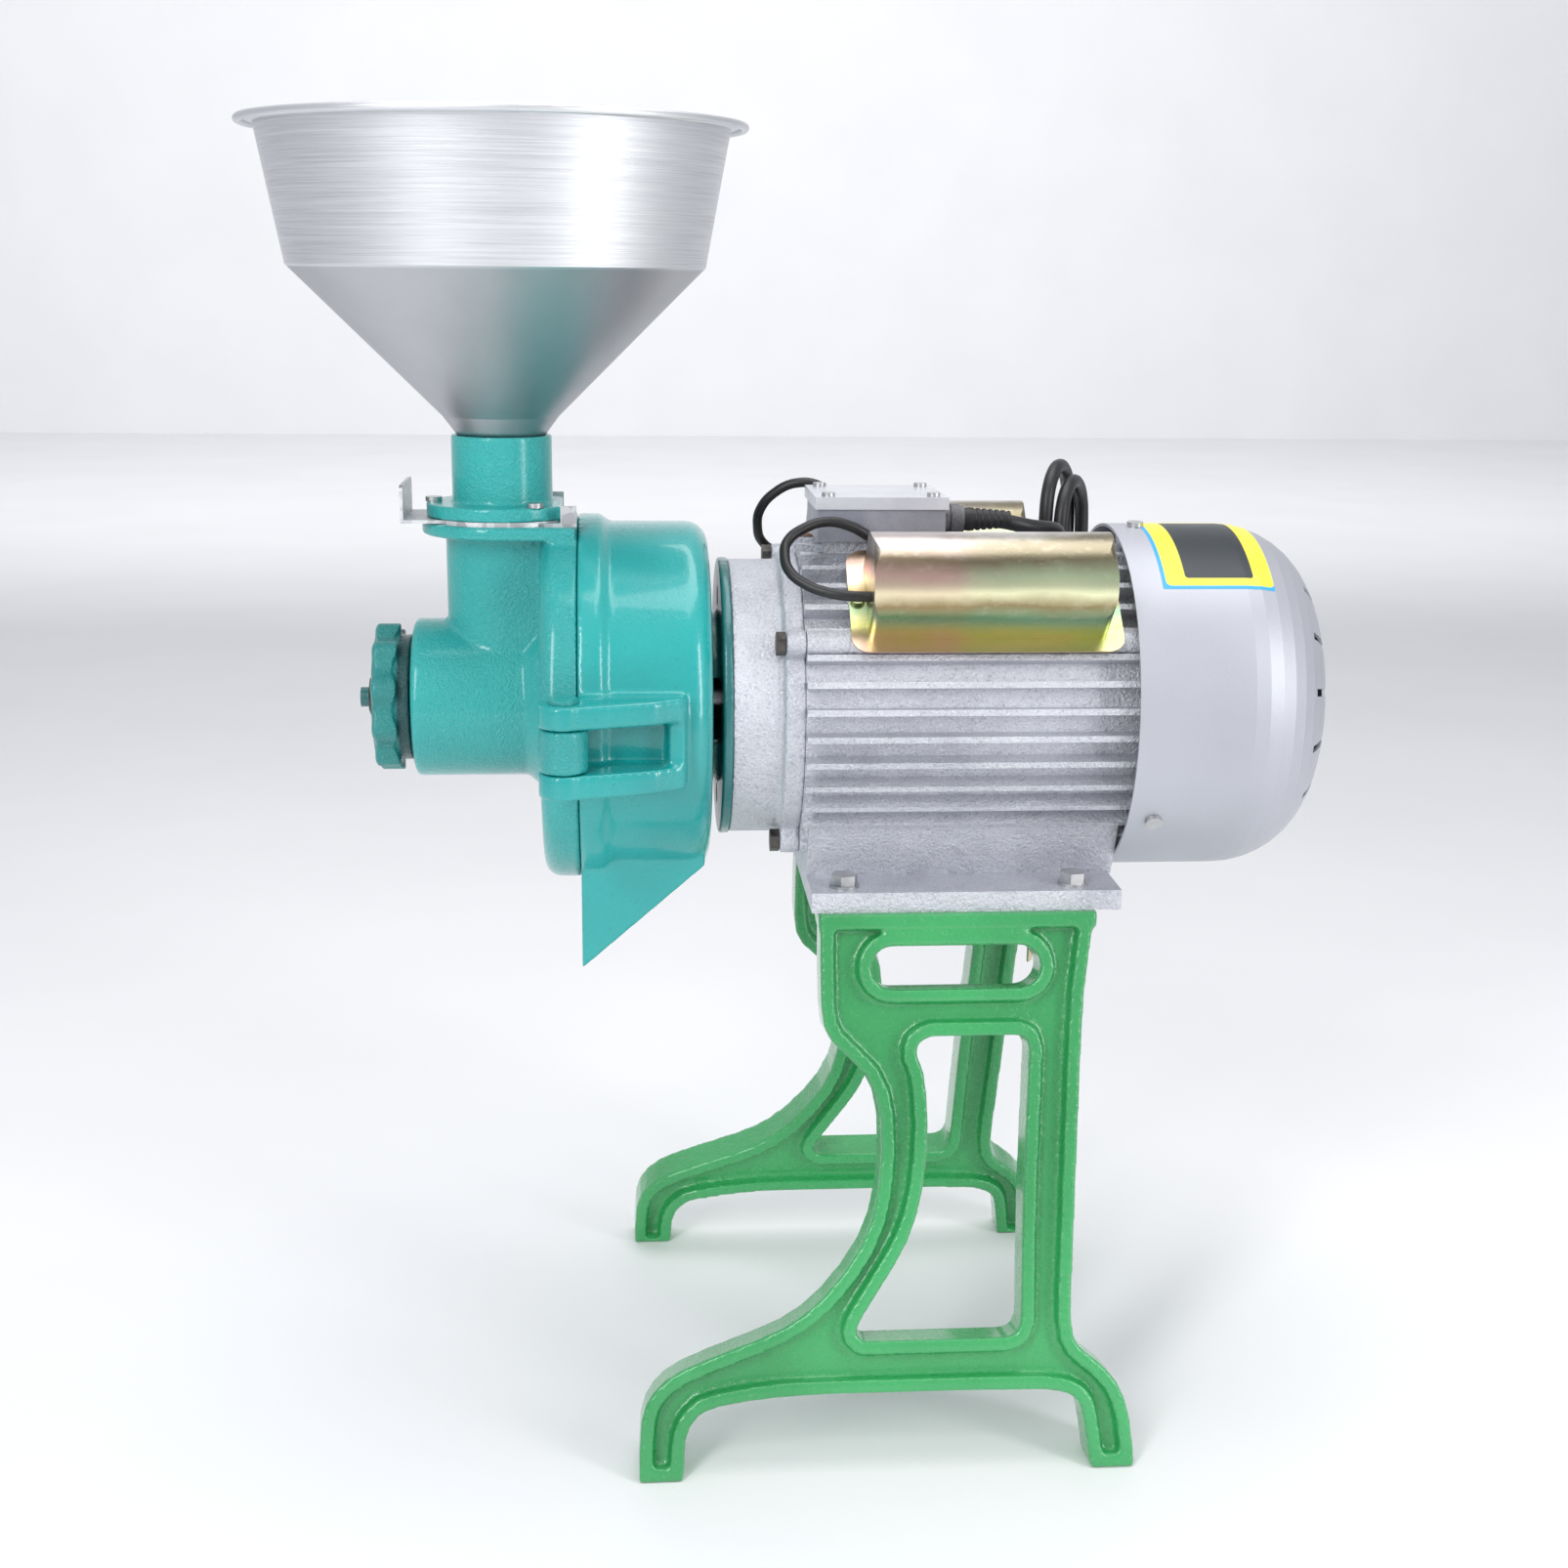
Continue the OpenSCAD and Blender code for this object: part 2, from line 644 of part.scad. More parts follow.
// Sheet metal fan cover with vents in its end
fan_screw_angles = [-34, 86, 245];
end_flat_r = fan_cover_r - fan_edge_r;
end_dome = 3;
vent_w = 4;
vent_count = 16;
vent_ring_share = 0.6;
dome_steps = 10;
function edge_curve(d) = [for (i = [0:dome_steps]) let (a = 90 * i / dome_steps)
  [end_flat_r + (fan_edge_r - d) * cos(a), fan_cover_l - end_dome - fan_edge_l + (fan_edge_l - d) * sin(a)]];

module fan_shell(d, extra) {
  along_x(fan_cover_x) rotate_extrude($fn = fine_fn)
    polygon(concat([[0, -extra], [fan_cover_r - d, -extra]], edge_curve(d),
      [[0, fan_cover_l - d]]));
}
module fan_screw_hole(a, r) {
  translate([frame_end + fan_screw_in, 0, axis_z]) rotate([180 - a, 0, 0])
    rotate([-90, 0, 0]) translate([0, 0, frame_r]) cylinder(h = fan_cover_r - frame_r + 2 * over,
      r = r);
}
fan_screw_in = 10;
module fan_cover() {
  color("silver") place() difference() {
    fan_shell(0, 0);
    fan_shell(sheet_t, over);
    for (i = [0:vent_count - 1]) radial_box(fan_cover_end - fan_edge_l / 3, fan_edge_l, end_flat_r / 3,
      end_flat_r, vent_w, i * 360 / vent_count);
    for (i = [0:vent_count - 1]) radial_box(fan_cover_end - fan_edge_l * vent_ring_share, fan_edge_l,
      end_flat_r + 2 * vent_w,
      fan_cover_r - 4 * vent_w, vent_w, (i + 0.5) * 360 / vent_count);
    for (a = fan_screw_angles) fan_screw_hole(a, small_screw_r + screw_gap);
  }
}
module fan_cover_screws() {
  color("gray") place() for (a = fan_screw_angles) {
    fan_screw(a);
  }
}
pan_r = 4.5;
pan_h = 2.4;
module fan_screw(a) {
  translate([frame_end + fan_screw_in, 0, axis_z]) rotate([180 - a, 0, 0]) rotate([-90, 0, 0]) {
    translate([0, 0, fan_cover_r + seat_gap / 3]) cylinder(h = pan_h, r = pan_r);
    translate([0, 0, frame_r + 2 * sink]) cylinder(h = fan_cover_r - frame_r, r = small_screw_r);
  }
}
fan_blade_t = 2.5;
fan_blades = 9;
fan_hub_r = 22;
fan_w = 24;
fan_gap = 10;
fan_x = frame_end + rear_l + fan_gap;
fan_plate_share = 0.9;
shaft_step = 2.5;
module cooling_fan() {
  color("black") place() difference() {
    union() {
      bar_x(fan_x, fan_w, fan_hub_r);
      bar_x(fan_x, fan_blade_t, fan_r * fan_plate_share);
      for (i = [0:fan_blades - 1])
        radial_box(fan_x, fan_w, fan_hub_r - sink, fan_r, fan_blade_t, i * 360 / fan_blades);
    }
    bar_x(fan_x - over, fan_w + 2 * over, shaft_r - shaft_step + run_gap / 2);
  }
}

// Junction box with its lid and gland
box_wall = 3;
lid_over = 1.5;
gland_r = 8.5;
gland_l = 14.5;
gland_z = box_z + box_h / 2;
screw_in = 6;
lid_screw_share = 0.8;
lid_screw_places = [for (x = [box_x + screw_in, box_x + box_l - screw_in], y = [-1, 1])
  [x, y * (box_w / 2 - screw_in)]];
module junction_box() {
  color("lightgray") place() difference() {
    translate([box_x, -box_w / 2, box_z + face_gap]) cube([box_l, box_w, box_h - face_gap]);
    difference() {
      translate([box_x + box_wall, -box_w / 2 + box_wall, box_z + box_wall])
        cube([box_l - 2 * box_wall, box_w - 2 * box_wall, box_h]);
      for (p = lid_screw_places) translate([p[0], p[1], box_z]) cylinder(h = 2 * box_h,
        r = screw_in - sink);
    }
    for (p = lid_screw_places)
      translate([p[0], p[1], box_z + box_wall]) cylinder(h = box_h,
        r = small_screw_r * lid_screw_share + run_gap);
    translate([box_x + box_l / 2, 0, box_z - over]) cylinder(h = box_wall + 2 * over, r = wire_hole_r);
    translate([box_x + box_l - box_wall - over, 0, gland_z]) rotate([0, 90, 0])
      cylinder(h = box_wall + 2 * over, r = cord_d / 2 + 2 * seat_gap);
  }
}
module junction_box_lid() {
  color("lightgray") place() difference() {
    translate([box_x - lid_over, -box_w / 2 - lid_over, box_z + box_h + face_gap])
      cube([box_l + 2 * lid_over, box_w + 2 * lid_over, lid_t]);
    for (p = lid_screw_places) translate([p[0], p[1], box_z + box_h - over])
      cylinder(h = lid_t + 2 * over, r = small_screw_r * lid_screw_share + screw_gap);
  }
}
module lid_screws() {
  color("gray") place() for (p = lid_screw_places) translate([p[0], p[1], box_z + box_h + lid_t]) {
    translate([0, 0, seat_gap / 3]) cylinder(h = pan_h * lid_screw_share, r = pan_r * lid_screw_share);
    translate([0, 0, -lid_t - box_h + box_wall + sink]) cylinder(h = lid_t + box_h - box_wall,
      r = small_screw_r * lid_screw_share);
  }
}
module cord_gland() {
  color("gray") place() translate([box_x + box_l + face_gap, 0, gland_z]) rotate([0, 90, 0])
    difference() {
      union() {
        cylinder(h = gland_l, r = gland_r - sink);
        cylinder(h = gland_l / 3, r = gland_r, $fn = 6);
        translate([0, 0, gland_l / 2]) cylinder(h = gland_l / 3, r = gland_r);
      }
      translate([0, 0, -over]) cylinder(h = gland_l + over - sink, r = cord_d / 2 + 2 * seat_gap);
      translate([0, 0, -over]) cylinder(h = gland_l + 2 * over, r = cord_d / 2 + seat_gap / 2);
    }
}

// Capacitor covers, each leaning out from the frame's shoulder
cap_base = fin_r + seat_gap;
cap_tab_l = 9;
cap_gap = 7;
cap_offset = 18;
cap_near_x = fan_cover_x - cap_tab_l - cap_l - cap_gap;
cap_far_x = cap_near_x - cap_offset;
cap_sheet = 1.2;
cap_corner = 4;

// Local frame of a cover: +Z points away from the shaft, +X stays along it
module on_shoulder(x) {
  translate([x, 0, axis_z]) rotate([90 - cap_angle, 0, 0]) translate([0, 0, cap_base]) children();
}
module rounded_plan(l, w, r) {
  for (x = [r, l - r], y = [r - w / 2, w / 2 - r]) translate([x, y]) circle(r = r);
  translate([r, -w / 2]) square([l - 2 * r, w]);
  translate([0, r - w / 2]) square([l, w - 2 * r]);
}
module cap_solid(d) {
  intersection() {
    translate([d, 0, 0]) rotate([90, 0, 90]) linear_extrude(height = cap_l - 2 * d) {
      translate([0, cap_side_h]) circle(r = cap_r - d, $fn = fine_fn);
      translate([-cap_r + d, d > 0 ? -over : 0])
        square([2 * (cap_r - d), cap_side_h + (d > 0 ? over : 0)]);
    }
    translate([0, 0, d > 0 ? -over : 0]) linear_extrude(height = 3 * cap_r)
      translate([d, 0]) rounded_plan(cap_l - 2 * d, 2 * (cap_r - d), cap_corner - d);
    translate([0, 2 * cap_r, 0]) rotate([90, 0, 0]) linear_extrude(height = 4 * cap_r)
      translate([d, 0]) union() {
        h = cap_side_h + cap_r - d;
        translate([0, -over]) square([cap_l - 2 * d, h - cap_corner + over]);
        translate([cap_corner, -over]) square([cap_l - 2 * d - 2 * cap_corner, h + over]);
        for (x = [cap_corner, cap_l - 2 * d - cap_corner]) translate([x, h - cap_corner])
          circle(r = cap_corner);
      }
  }
}
lead_hole_y = 10;
lead_hole_z = 18;
module capacitor_cover() {
  difference() {
    union() {
      cap_solid(0);
      translate([-cap_tab_l, 0, 0]) linear_extrude(height = cap_sheet)
        rounded_plan(cap_l + 2 * cap_tab_l, 2 * (cap_r + cap_flange_w), cap_tab_l);
    }
    cap_solid(cap_sheet);
    for (x = [-cap_tab_l / 2, cap_l + cap_tab_l / 2]) translate([x, 0, -over])
      cylinder(h = 3 * over + cap_sheet, r = small_screw_r + screw_gap / 2);
    translate([-over, -lead_hole_y, lead_hole_z]) rotate([0, 90, 0])
      cylinder(h = cap_corner, r = lead_d / 2 + seat_gap);
  }
}
module capacitor_cover_near() {
  color("khaki") place() on_shoulder(cap_near_x) capacitor_cover();
}
module capacitor_cover_far() {
  color("khaki") place() mirror([0, 1, 0]) on_shoulder(cap_far_x) capacitor_cover();
}
can_r = 21;
can_l = 95;
can_x = 22;
cap_pan_share = 0.85;
module capacitor_can() {
  translate([can_x, 0, can_r + seat_gap]) rotate([0, 90, 0]) cylinder(h = can_l, r = can_r);
}
module capacitors() {
  color("whitesmoke") place() {
    on_shoulder(cap_near_x) capacitor_can();
    mirror([0, 1, 0]) on_shoulder(cap_far_x) capacitor_can();
  }
}
module cap_screw_pair() {
  for (x = [-cap_tab_l / 2, cap_l + cap_tab_l / 2]) translate([x, 0, cap_sheet + face_gap]) {
    cylinder(h = pan_h, r = pan_r * cap_pan_share);
    translate([0, 0, -cap_sheet - fin_r + frame_r]) cylinder(h = cap_sheet + fin_r - frame_r + sink,
      r = cap_screw_r);
  }
}
module capacitor_screws() {
  color("goldenrod") place() {
    on_shoulder(cap_near_x) cap_screw_pair();
    mirror([0, 1, 0]) on_shoulder(cap_far_x) cap_screw_pair();
  }
}

// A round tube swept along points
function cross_unit(a, b) = unit(cross(a, b));
function run_dirs(p) = let (n = len(p)) [for (i = [0:n - 1])
  unit(p[min(i + 1, n - 1)] - p[max(i - 1, 0)])];
function side_step(v, d) = unit(v - (v * d) * d);
function frames(d, i, v) = i == len(d) ? [] :
  let (w = side_step(v, d[i])) concat([[w, cross(d[i], w)]], frames(d, i + 1, w));
module swept_tube(p, dia, sides) {
  n = len(p);
  d = run_dirs(p);
  v0 = abs(d[0][2]) < 0.9 ? [0, 0, 1] : [0, 1, 0];
  f = frames(d, 0, side_step(v0, d[0]));
  rings = [for (i = [0:n - 1], k = [0:sides - 1]) let (a = 360 * k / sides)
    p[i] + dia / 2 * (cos(a) * f[i][0] + sin(a) * f[i][1])];
  ends = [[for (k = [0:sides - 1]) k], [for (k = [sides - 1:-1:0]) (n - 1) * sides + k]];
  walls = [for (i = [0:n - 2], k = [0:sides - 1]) let (a = i * sides + k,
    b = i * sides + (k + 1) % sides)
    each [[a, a + sides, b], [b, a + sides, b + sides]]];
  polyhedron(points = rings, faces = concat(ends, walls), convexity = 6);
}

// Each capacitor lead, from the junction box's side to the hole in its cover, as
// departures from the straight line between these two ends
lead_near_in = 31;
lead_far_in = 24;
lead_low = 0.5;
lead_far_low = 1.5;
lead_near_bow = [[0, 0, 0], [0.1, -1.9, 1.7], [-4.8, -2, 7.4], [-14.8, -0.2, 14.7],
  [-27.7, 1.7, 18.9], [-39.6, 1.5, 17.6], [-48.5, 0.3, 13.3], [-50.5, -2.8, 8.1],
  [-48.4, -6, 2.8], [-40.3, -8.2, -1.5], [-29.2, -9.3, -3.3], [-18.2, -7.7, -3],
  [-8.1, -3.8, -1.7], [0, 0, 0]];
lead_far_bow = [[0, 0, 0], [1, 2.3, 1.9], [-3, 3.1, 13.9], [-12, 3, 25.9], [-24, 0.9, 29.8],
  [-36, -0.3, 25.8], [-43, -0.4, 17.7], [-43, 2.5, 8.6], [-39, 6.3, 1.6], [-30, 8.2, -3],
  [-19, 8.1, -3.5], [-9, 4.1, -1.9], [0, 0, 0]];
cap_hole_y = lead_hole_y * cos(cap_angle) + (cap_base + lead_hole_z) * sin(cap_angle);
cap_hole_z = axis_z + (cap_base + lead_hole_z) * cos(cap_angle) - lead_hole_y * sin(cap_angle);
function bowed(a, b, bow) = let (n = len(bow) - 1)
  [for (i = [0:n]) a + (b - a) * i / n + bow[i]];
module capacitor_lead_near() {
  color("black") place() swept_tube(smooth_run(bowed(
    [box_x + lead_near_in, -box_w / 2 - seat_gap, box_z + lead_low],
    [cap_near_x + cap_gap, -cap_hole_y, cap_hole_z], lead_near_bow), 2), lead_d, 8);
}
module capacitor_lead_far() {
  color("black") place() swept_tube(smooth_run(bowed(
    [box_x + lead_far_in, box_w / 2 + 2 * seat_gap, box_z + lead_far_low],
    [cap_far_x + cap_gap, cap_hole_y, cap_hole_z], lead_far_bow), 2), lead_d, 8);
}

// The cord: out of the gland, over the frame's far shoulder and down to its hank
cord_out = [[0, 0, 0], [10.5, 0, 0], [21.5, 0.3, -1], [31.5, 1.5, -3], [40.5, 5, -5],
  [48.5, 11, -6.3], [55, 19, -7.9]];
// On the shoulder: ahead of the frame's end, out from the fins, angle up from level
cord_over = [[26, 5.2, 71.7], [24, 7.3, 64.4], [23.5, 7.3, 55.9], [23.5, 5.2, 47.1],
  [23.6, 4.7, 38], [24.4, 5, 28.1], [25.6, 6.6, 16.9], [27.2, 10.7, 6.7], [27.3, 14.7, -1.9],
  [26.3, 17.8, -10.1]];
cord_down = [42.6, 21.6];

// The hank: long upright loops in two layers, drawn in where the tie holds them.
// It leans on the far side of the frame and hangs from its own lead
hank_turn = 26.1;
hank_m = [sin(hank_turn), cos(hank_turn)];
hank_q = [cos(hank_turn), -sin(hank_turn)];
hank_near = [frame_end - 18.1, fin_r + 12.2];
hank_fold_r = 27;
hank_pitch = cord_d + 0.5;
hank_draw = 26;
hank_tops = [axis_z + 89.9, axis_z + 80.9];
hank_low = axis_z - 82.1;
hank_tail = [0, 22, 45];
hank_lead = 5;
hank_waist_share = 1.2;
hank_sides = 6;
function ease(k) = k * k * (3 - 2 * k);
// A place in the hank: a across its loops, b across its layers, z above the floor
function hank_place(a, b, z) = [hank_near[0] + a * hank_m[0] + b * hank_q[0],
  hank_near[1] + a * hank_m[1] + b * hank_q[1], z];
function hank_loop(k, t) = concat(
  [for (j = [0:6]) hank_place(hank_fold_r * (1 - cos(30 * j)),
    hank_pitch * (k - 1 + ease(j / 6)), hank_low - hank_fold_r * sin(30 * j))],
  [for (j = [1:7]) hank_place(hank_out(j / 8), hank_pitch * k, hank_low + (t - hank_low) * j / 8)],
  [for (j = [0:6]) hank_place(hank_fold_r * (1 + cos(30 * j)), hank_pitch * k,
    t + hank_fold_r * sin(30 * j))],
  [for (j = [1:7]) hank_place(0, hank_pitch * k, t - (t - hank_low) * j / 8)]);
function hank_out(u) = 2 * hank_fold_r
  - hank_draw * pow(sin(180 * min(hank_waist_share * u, 1)), 2);
hank_points = concat([hank_place(0, -hank_pitch, hank_low + hank_lead)],
  hank_loop(0, hank_tops[0]), hank_loop(1, hank_tops[1]),
  [for (d = hank_tail) hank_place(0, hank_pitch, hank_low - d)]);
lead_points = smooth_run(concat([for (p = cord_out) [box_x + box_l + gland_l, 0, gland_z] + p],
  [for (p = cord_over) [frame_end - p[0], (fin_r + p[1]) * cos(p[2]),
    axis_z + (fin_r + p[1]) * sin(p[2])]],
  [for (d = cord_down) hank_place(0, -hank_pitch, hank_low + d)], [hank_points[0]]), 2);

module power_cord() {
  color("black") place() swept_tube(lead_points, cord_d, 8);
}
module cord_hank() {
  color("black") place() swept_tube(hank_points, cord_d, hank_sides);
}

tie_t = 1.2;
tie_w = 7;
tie_share = 0.38;
tie_corner = 2.5;
// Outline of the tie, out by d from the cord inside it
function tie_outline(d) = let (
    a0 = -cord_d / 2 - seat_gap - d, a1 = hank_out(tie_share) + cord_d / 2 + 6 * seat_gap + d,
    b = hank_pitch + cord_d / 2 + seat_gap + d, c = tie_corner)
  [[a0 + c, -b], [a1 - c, -b], [a1, c - b], [a1, b - c], [a1 - c, b], [a0 + c, b],
    [a0, b - c], [a0, c - b]];
module hank_tie() {
  color("black") place() translate(hank_place(0, 0,
      hank_low + (hank_tops[0] - hank_low) * tie_share - tie_w / 2))
    rotate([0, 0, 90 - hank_turn]) linear_extrude(height = tie_w) difference() {
      polygon(tie_outline(tie_t));
      polygon(tie_outline(0));
    }
}

plug_l = 34;
plug_w = 34;
plug_t = 24;
plug_relief_l = 16;
plug_relief_r = 7;
pin_l = 18;
pin_w = 6.4;
pin_t = 1.8;
pin_in = 8;
pin_share = 0.8;
module power_plug() {
  color("black") place() translate(hank_points[len(hank_points) - 1])
    rotate([180, 0, 0]) {
      cylinder(h = plug_relief_l + sink, r = plug_relief_r);
      translate([-plug_t / 2, -plug_w / 2, plug_relief_l]) cube([plug_t, plug_w, plug_l]);
      translate([-pin_t / 2, -pin_w / 2 + pin_in, plug_relief_l + plug_l - sink])
        cube([pin_t, pin_w, pin_l + sink]);
      for (s = [-1, 1]) translate([s * pin_in * pin_share, -pin_in, plug_relief_l + plug_l - sink])
        rotate([0, 0, s * 30]) translate([-pin_t / 2, -pin_w / 2, 0])
          cube([pin_t, pin_w, pin_l + sink]);
    }
}

// The adapter between drum and motor

adapter_screw_r = 56;
adapter_screw_angles = [0, 90, 180, 270];
drum_screw_r = 42.5;
drum_screw_angles = [45, 135, 225, 315];
adapter_window_w = 36;
neck_wall = 9.3;
head_r = 4.4;
head_h = 2.8;
module screw_ring(x, l, r, place_r, angles) {
  for (a = angles) translate([x, polar_y(place_r, a), polar_z(place_r, a)]) rotate([0, 90, 0])
    cylinder(h = l, r = r);
}
module adapter_neck() {
  color("darkcyan") place() difference() {
    union() {
      bar_x(adapter_x, adapter_t - face_gap, shield_r + sink);
      bar_x(drum_depth + face_gap, neck_l + sink, neck_r);
    }
    bar_x(drum_depth - over, neck_l + adapter_t + 2 * over, neck_r - neck_wall);
    // Side windows in the neck, towards near and far
    translate([drum_depth - over, -2 * neck_r, axis_z - adapter_window_w / 2])
      cube([neck_l + over, 4 * neck_r, adapter_window_w]);
    screw_ring(drum_depth - over, neck_l + adapter_t + 2 * over, small_screw_r + run_gap, drum_screw_r,
      drum_screw_angles);
    screw_ring(adapter_x - over, adapter_t + 2 * over, small_screw_r + screw_gap / 2, adapter_screw_r,
      adapter_screw_angles);
    screw_ring(adapter_x - over, head_h + over + seat_gap / 3, head_r + screw_gap / 2, adapter_screw_r,
      adapter_screw_angles);
  }
}
module adapter_screws() {
  color("gray") place() {
    screw_ring(adapter_x + face_gap, head_h, head_r, adapter_screw_r, adapter_screw_angles);
    screw_ring(adapter_x + seat_gap, adapter_t + shield_wall + sink, small_screw_r, adapter_screw_r,
      adapter_screw_angles);
  }
}
module drum_screws() {
  color("gray") place() {
    screw_ring(drum_depth - drum_wall - drum_screw_head_h - face_gap, drum_screw_head_h, head_r,
      drum_screw_r, drum_screw_angles);
    screw_ring(drum_depth - drum_wall - sink, drum_wall + neck_l + sink * 2, small_screw_r,
      drum_screw_r, drum_screw_angles);
  }
}
drum_screw_head_h = 5;

// The drum with its hinge arms, clamp lug and chute

drum_round = 12;
round_steps = 6;
function corner_arc(cx, cy, r, a0, a1) = [for (i = [0:round_steps])
  let (a = a0 + (a1 - a0) * i / round_steps) [cx + r * cos(a), cy + r * sin(a)]];
drum_chamfer = 5;
knuckle_z = axis_z - 4;
lug_y = pin_y - 5;
lug_half_h = 10;
lug_reach = 11;
lug_t = 12;
seal_r = 22;
chute_slope_h = 58;
chute_floor_x = drum_depth - 3;
chute_tip_z = axis_z - chute_drop;
chute_slope = chute_slope_h / chute_floor_x;
chute_floor_rise = chute_wall * norm([1, chute_slope]);
function chute_floor(x) = chute_tip_z + chute_floor_rise + chute_slope * x;
mouth_top = axis_z - flange_r;
chute_top = axis_z - sqrt(pow(drum_r - drum_wall / 2, 2) - pow(chute_w / 2, 2));

module side_prism(w, points) {
  translate([0, w / 2, 0]) rotate([90, 0, 0]) linear_extrude(height = w) polygon(points);
}
arm_taper_share = 0.72;
arm_out = 9;
arm_in = 5;
module hinge_arm(z) {
  translate([0, 0, z]) linear_extrude(height = arm_t) {
    translate([-pin_ahead, -pin_y]) circle(r = boss_r, $fn = fine_fn);
    polygon([[-pin_ahead, -pin_y - boss_r], [arm_back * arm_taper_share, -pin_y + sink],
      [arm_back, -drum_r - arm_out], [arm_back, -drum_r + arm_in], [seat_gap, -drum_r + arm_in],
      [seat_gap, -pin_y + boss_r], [-pin_ahead, -pin_y + boss_r]]);
  }
}
module drum_body() {
  color("lightseagreen") place() difference() {
    union() {
      along_x(0) rotate_extrude($fn = fine_fn) polygon(concat(
        [[0, 0], [flange_r, 0], [flange_r, drum_flange_t], [drum_r, drum_flange_t + drum_chamfer]],
        corner_arc(drum_r - drum_round, drum_depth - drum_round, drum_round, 0, 90),
        [[0, drum_depth]]));
      hinge_arm(knuckle_z + knuckle_h / 2);
      hinge_arm(knuckle_z - knuckle_h / 2 - arm_t);
      // Web that joins the arms at their backs
      translate([arm_back - arm_out, -drum_r - arm_out, knuckle_z - knuckle_h / 2 - sink])
        cube([arm_out, arm_out + arm_in, knuckle_h + 2 * sink]);
      // Lug for the clamp screw on the far side
      translate([0, drum_r - arm_in, axis_z - lug_half_h])
        cube([lug_t, lug_y + lug_reach - drum_r + arm_in, 2 * lug_half_h]);
      side_prism(chute_w, [[0, chute_top], [0, chute_tip_z],
        [chute_floor_x, chute_tip_z + chute_slope_h], [chute_floor_x, chute_top]]);
    }
    bar_x(-over, drum_depth - drum_wall + over, drum_r - drum_wall);
    // Way out of the drum, over the sloping floor of the chute
    side_prism(chute_w - 2 * chute_wall, [[-over, chute_floor(-over)], [-over, mouth_top],
      [drum_flange_t, mouth_top], [drum_flange_t, axis_z - drum_r / 2],
      [drum_depth - drum_wall - sink, axis_z - drum_r / 2],
      [drum_depth - drum_wall - sink, chute_floor(drum_depth - drum_wall - sink)]]);
    bar_x(drum_depth - 2 * drum_wall, 3 * drum_wall, seal_r + run_gap / 2);
    screw_ring(drum_depth - 2 * drum_wall, 3 * drum_wall, small_screw_r + screw_gap / 2, drum_screw_r,
      drum_screw_angles);
    translate([-pin_ahead, -pin_y, knuckle_z - knuckle_h / 2 - arm_t - over])
      cylinder(h = knuckle_h + 2 * arm_t + 2 * over, r = pin_r + run_gap / 2);
    translate([-over, lug_y, axis_z]) rotate([0, 90, 0]) cylinder(h = lug_t + 2 * over,
      r = clamp_r + 2 * screw_gap);
  }
}
module shaft_seal() {
  color("black") place() difference() {
    bar_x(drum_depth - drum_wall - sink, drum_wall + sink - seat_gap, seal_r);
    bar_x(drum_depth - drum_wall - 2 * over, drum_wall + 3 * over, shaft_r + run_gap);
  }
}
pin_head_r = 7.5;
pin_head_h = 2.4;
module hinge_pin() {
  pin_low = knuckle_z - knuckle_h / 2 - arm_t;
  pin_high = knuckle_z + knuckle_h / 2 + arm_t;
  color("lightseagreen") place() translate([-pin_ahead, -pin_y, 0]) {
    translate([0, 0, pin_low]) cylinder(h = pin_high - pin_low + sink, r = pin_r);
    translate([0, 0, pin_high + face_gap]) cylinder(h = pin_head_h, r = pin_head_r);
  }
}

// The rotor

shaft_from = 14;
key_w = 5;
key_h = 5;
key_x = 29;
key_l = 15;
module motor_shaft() {
  color("silver") place() difference() {
    union() {
      bar_x(shaft_from, rear_bearing_x + bearing_w - shaft_from, shaft_r);
      bar_x(shaft_from, fan_x + fan_w - shaft_from, shaft_r - shaft_step);
    }
    translate([key_x - run_gap, -key_w / 2 - run_gap / 2, axis_z + shaft_r - key_h / 2])
      cube([key_l + 2 * run_gap, key_w + run_gap, key_h]);
  }
}
module shaft_key() {
  color("gray") place() translate([key_x, -key_w / 2, axis_z + shaft_r - key_h / 2 + run_gap])
    cube([key_l, key_w, key_h - run_gap]);
}
module rotor_core() {
  color("gray") place() difference() {
    bar_x(core_x, core_l, rotor_r);
    bar_x(core_x - over, core_l + 2 * over, shaft_r + run_gap / 2);
  }
}
collar_in = 8;
collar_x = drum_depth - drum_wall - collar_in;
collar_t = 5;
collar_r = 20;
module spring_collar() {
  color("silver") place() difference() {
    bar_x(collar_x, collar_t, collar_r);
    bar_x(collar_x - over, collar_t + 2 * over, shaft_r + run_gap / 2);
  }
}

// The moving disc on its carrier, and the auger in front of it

fixed_face = disc_t - cover_hollow;
moving_tip = fixed_face + tooth_h + fine_gap + disc_travel;
moving_face = moving_tip + tooth_h;
carrier_x = moving_face + disc_t;
carrier_t = 9;
carrier_r = 69;
hub_r = 22;
spring_room = 11;
hub_end = collar_x - spring_room;
nose_r = 15;
nose_x = 5.5;
moving_eye_r = 30;
disc_screw_r = 52;
disc_screw_angles = [30, 150, 270];
module disc_carrier() {
  color("dimgray") place() difference() {
    union() {
      bar_x(carrier_x + face_gap, carrier_t, carrier_r);
      bar_x(carrier_x, hub_end - carrier_x, hub_r);
      bar_x(nose_x, carrier_x - nose_x + sink, nose_r);
    }
    bar_x(shaft_from - disc_travel - seat_gap, hub_end, shaft_r + run_gap);
    translate([shaft_from, -key_w / 2 - run_gap, axis_z])
      cube([hub_end, key_w + 2 * run_gap, shaft_r + key_h / 2 + run_gap]);
    screw_ring(carrier_x - over, carrier_t + 2 * over, small_screw_r + screw_gap / 2, disc_screw_r,
      moving_screw_angles);
  }
}
fine_from = 56;
coarse_from = 37;
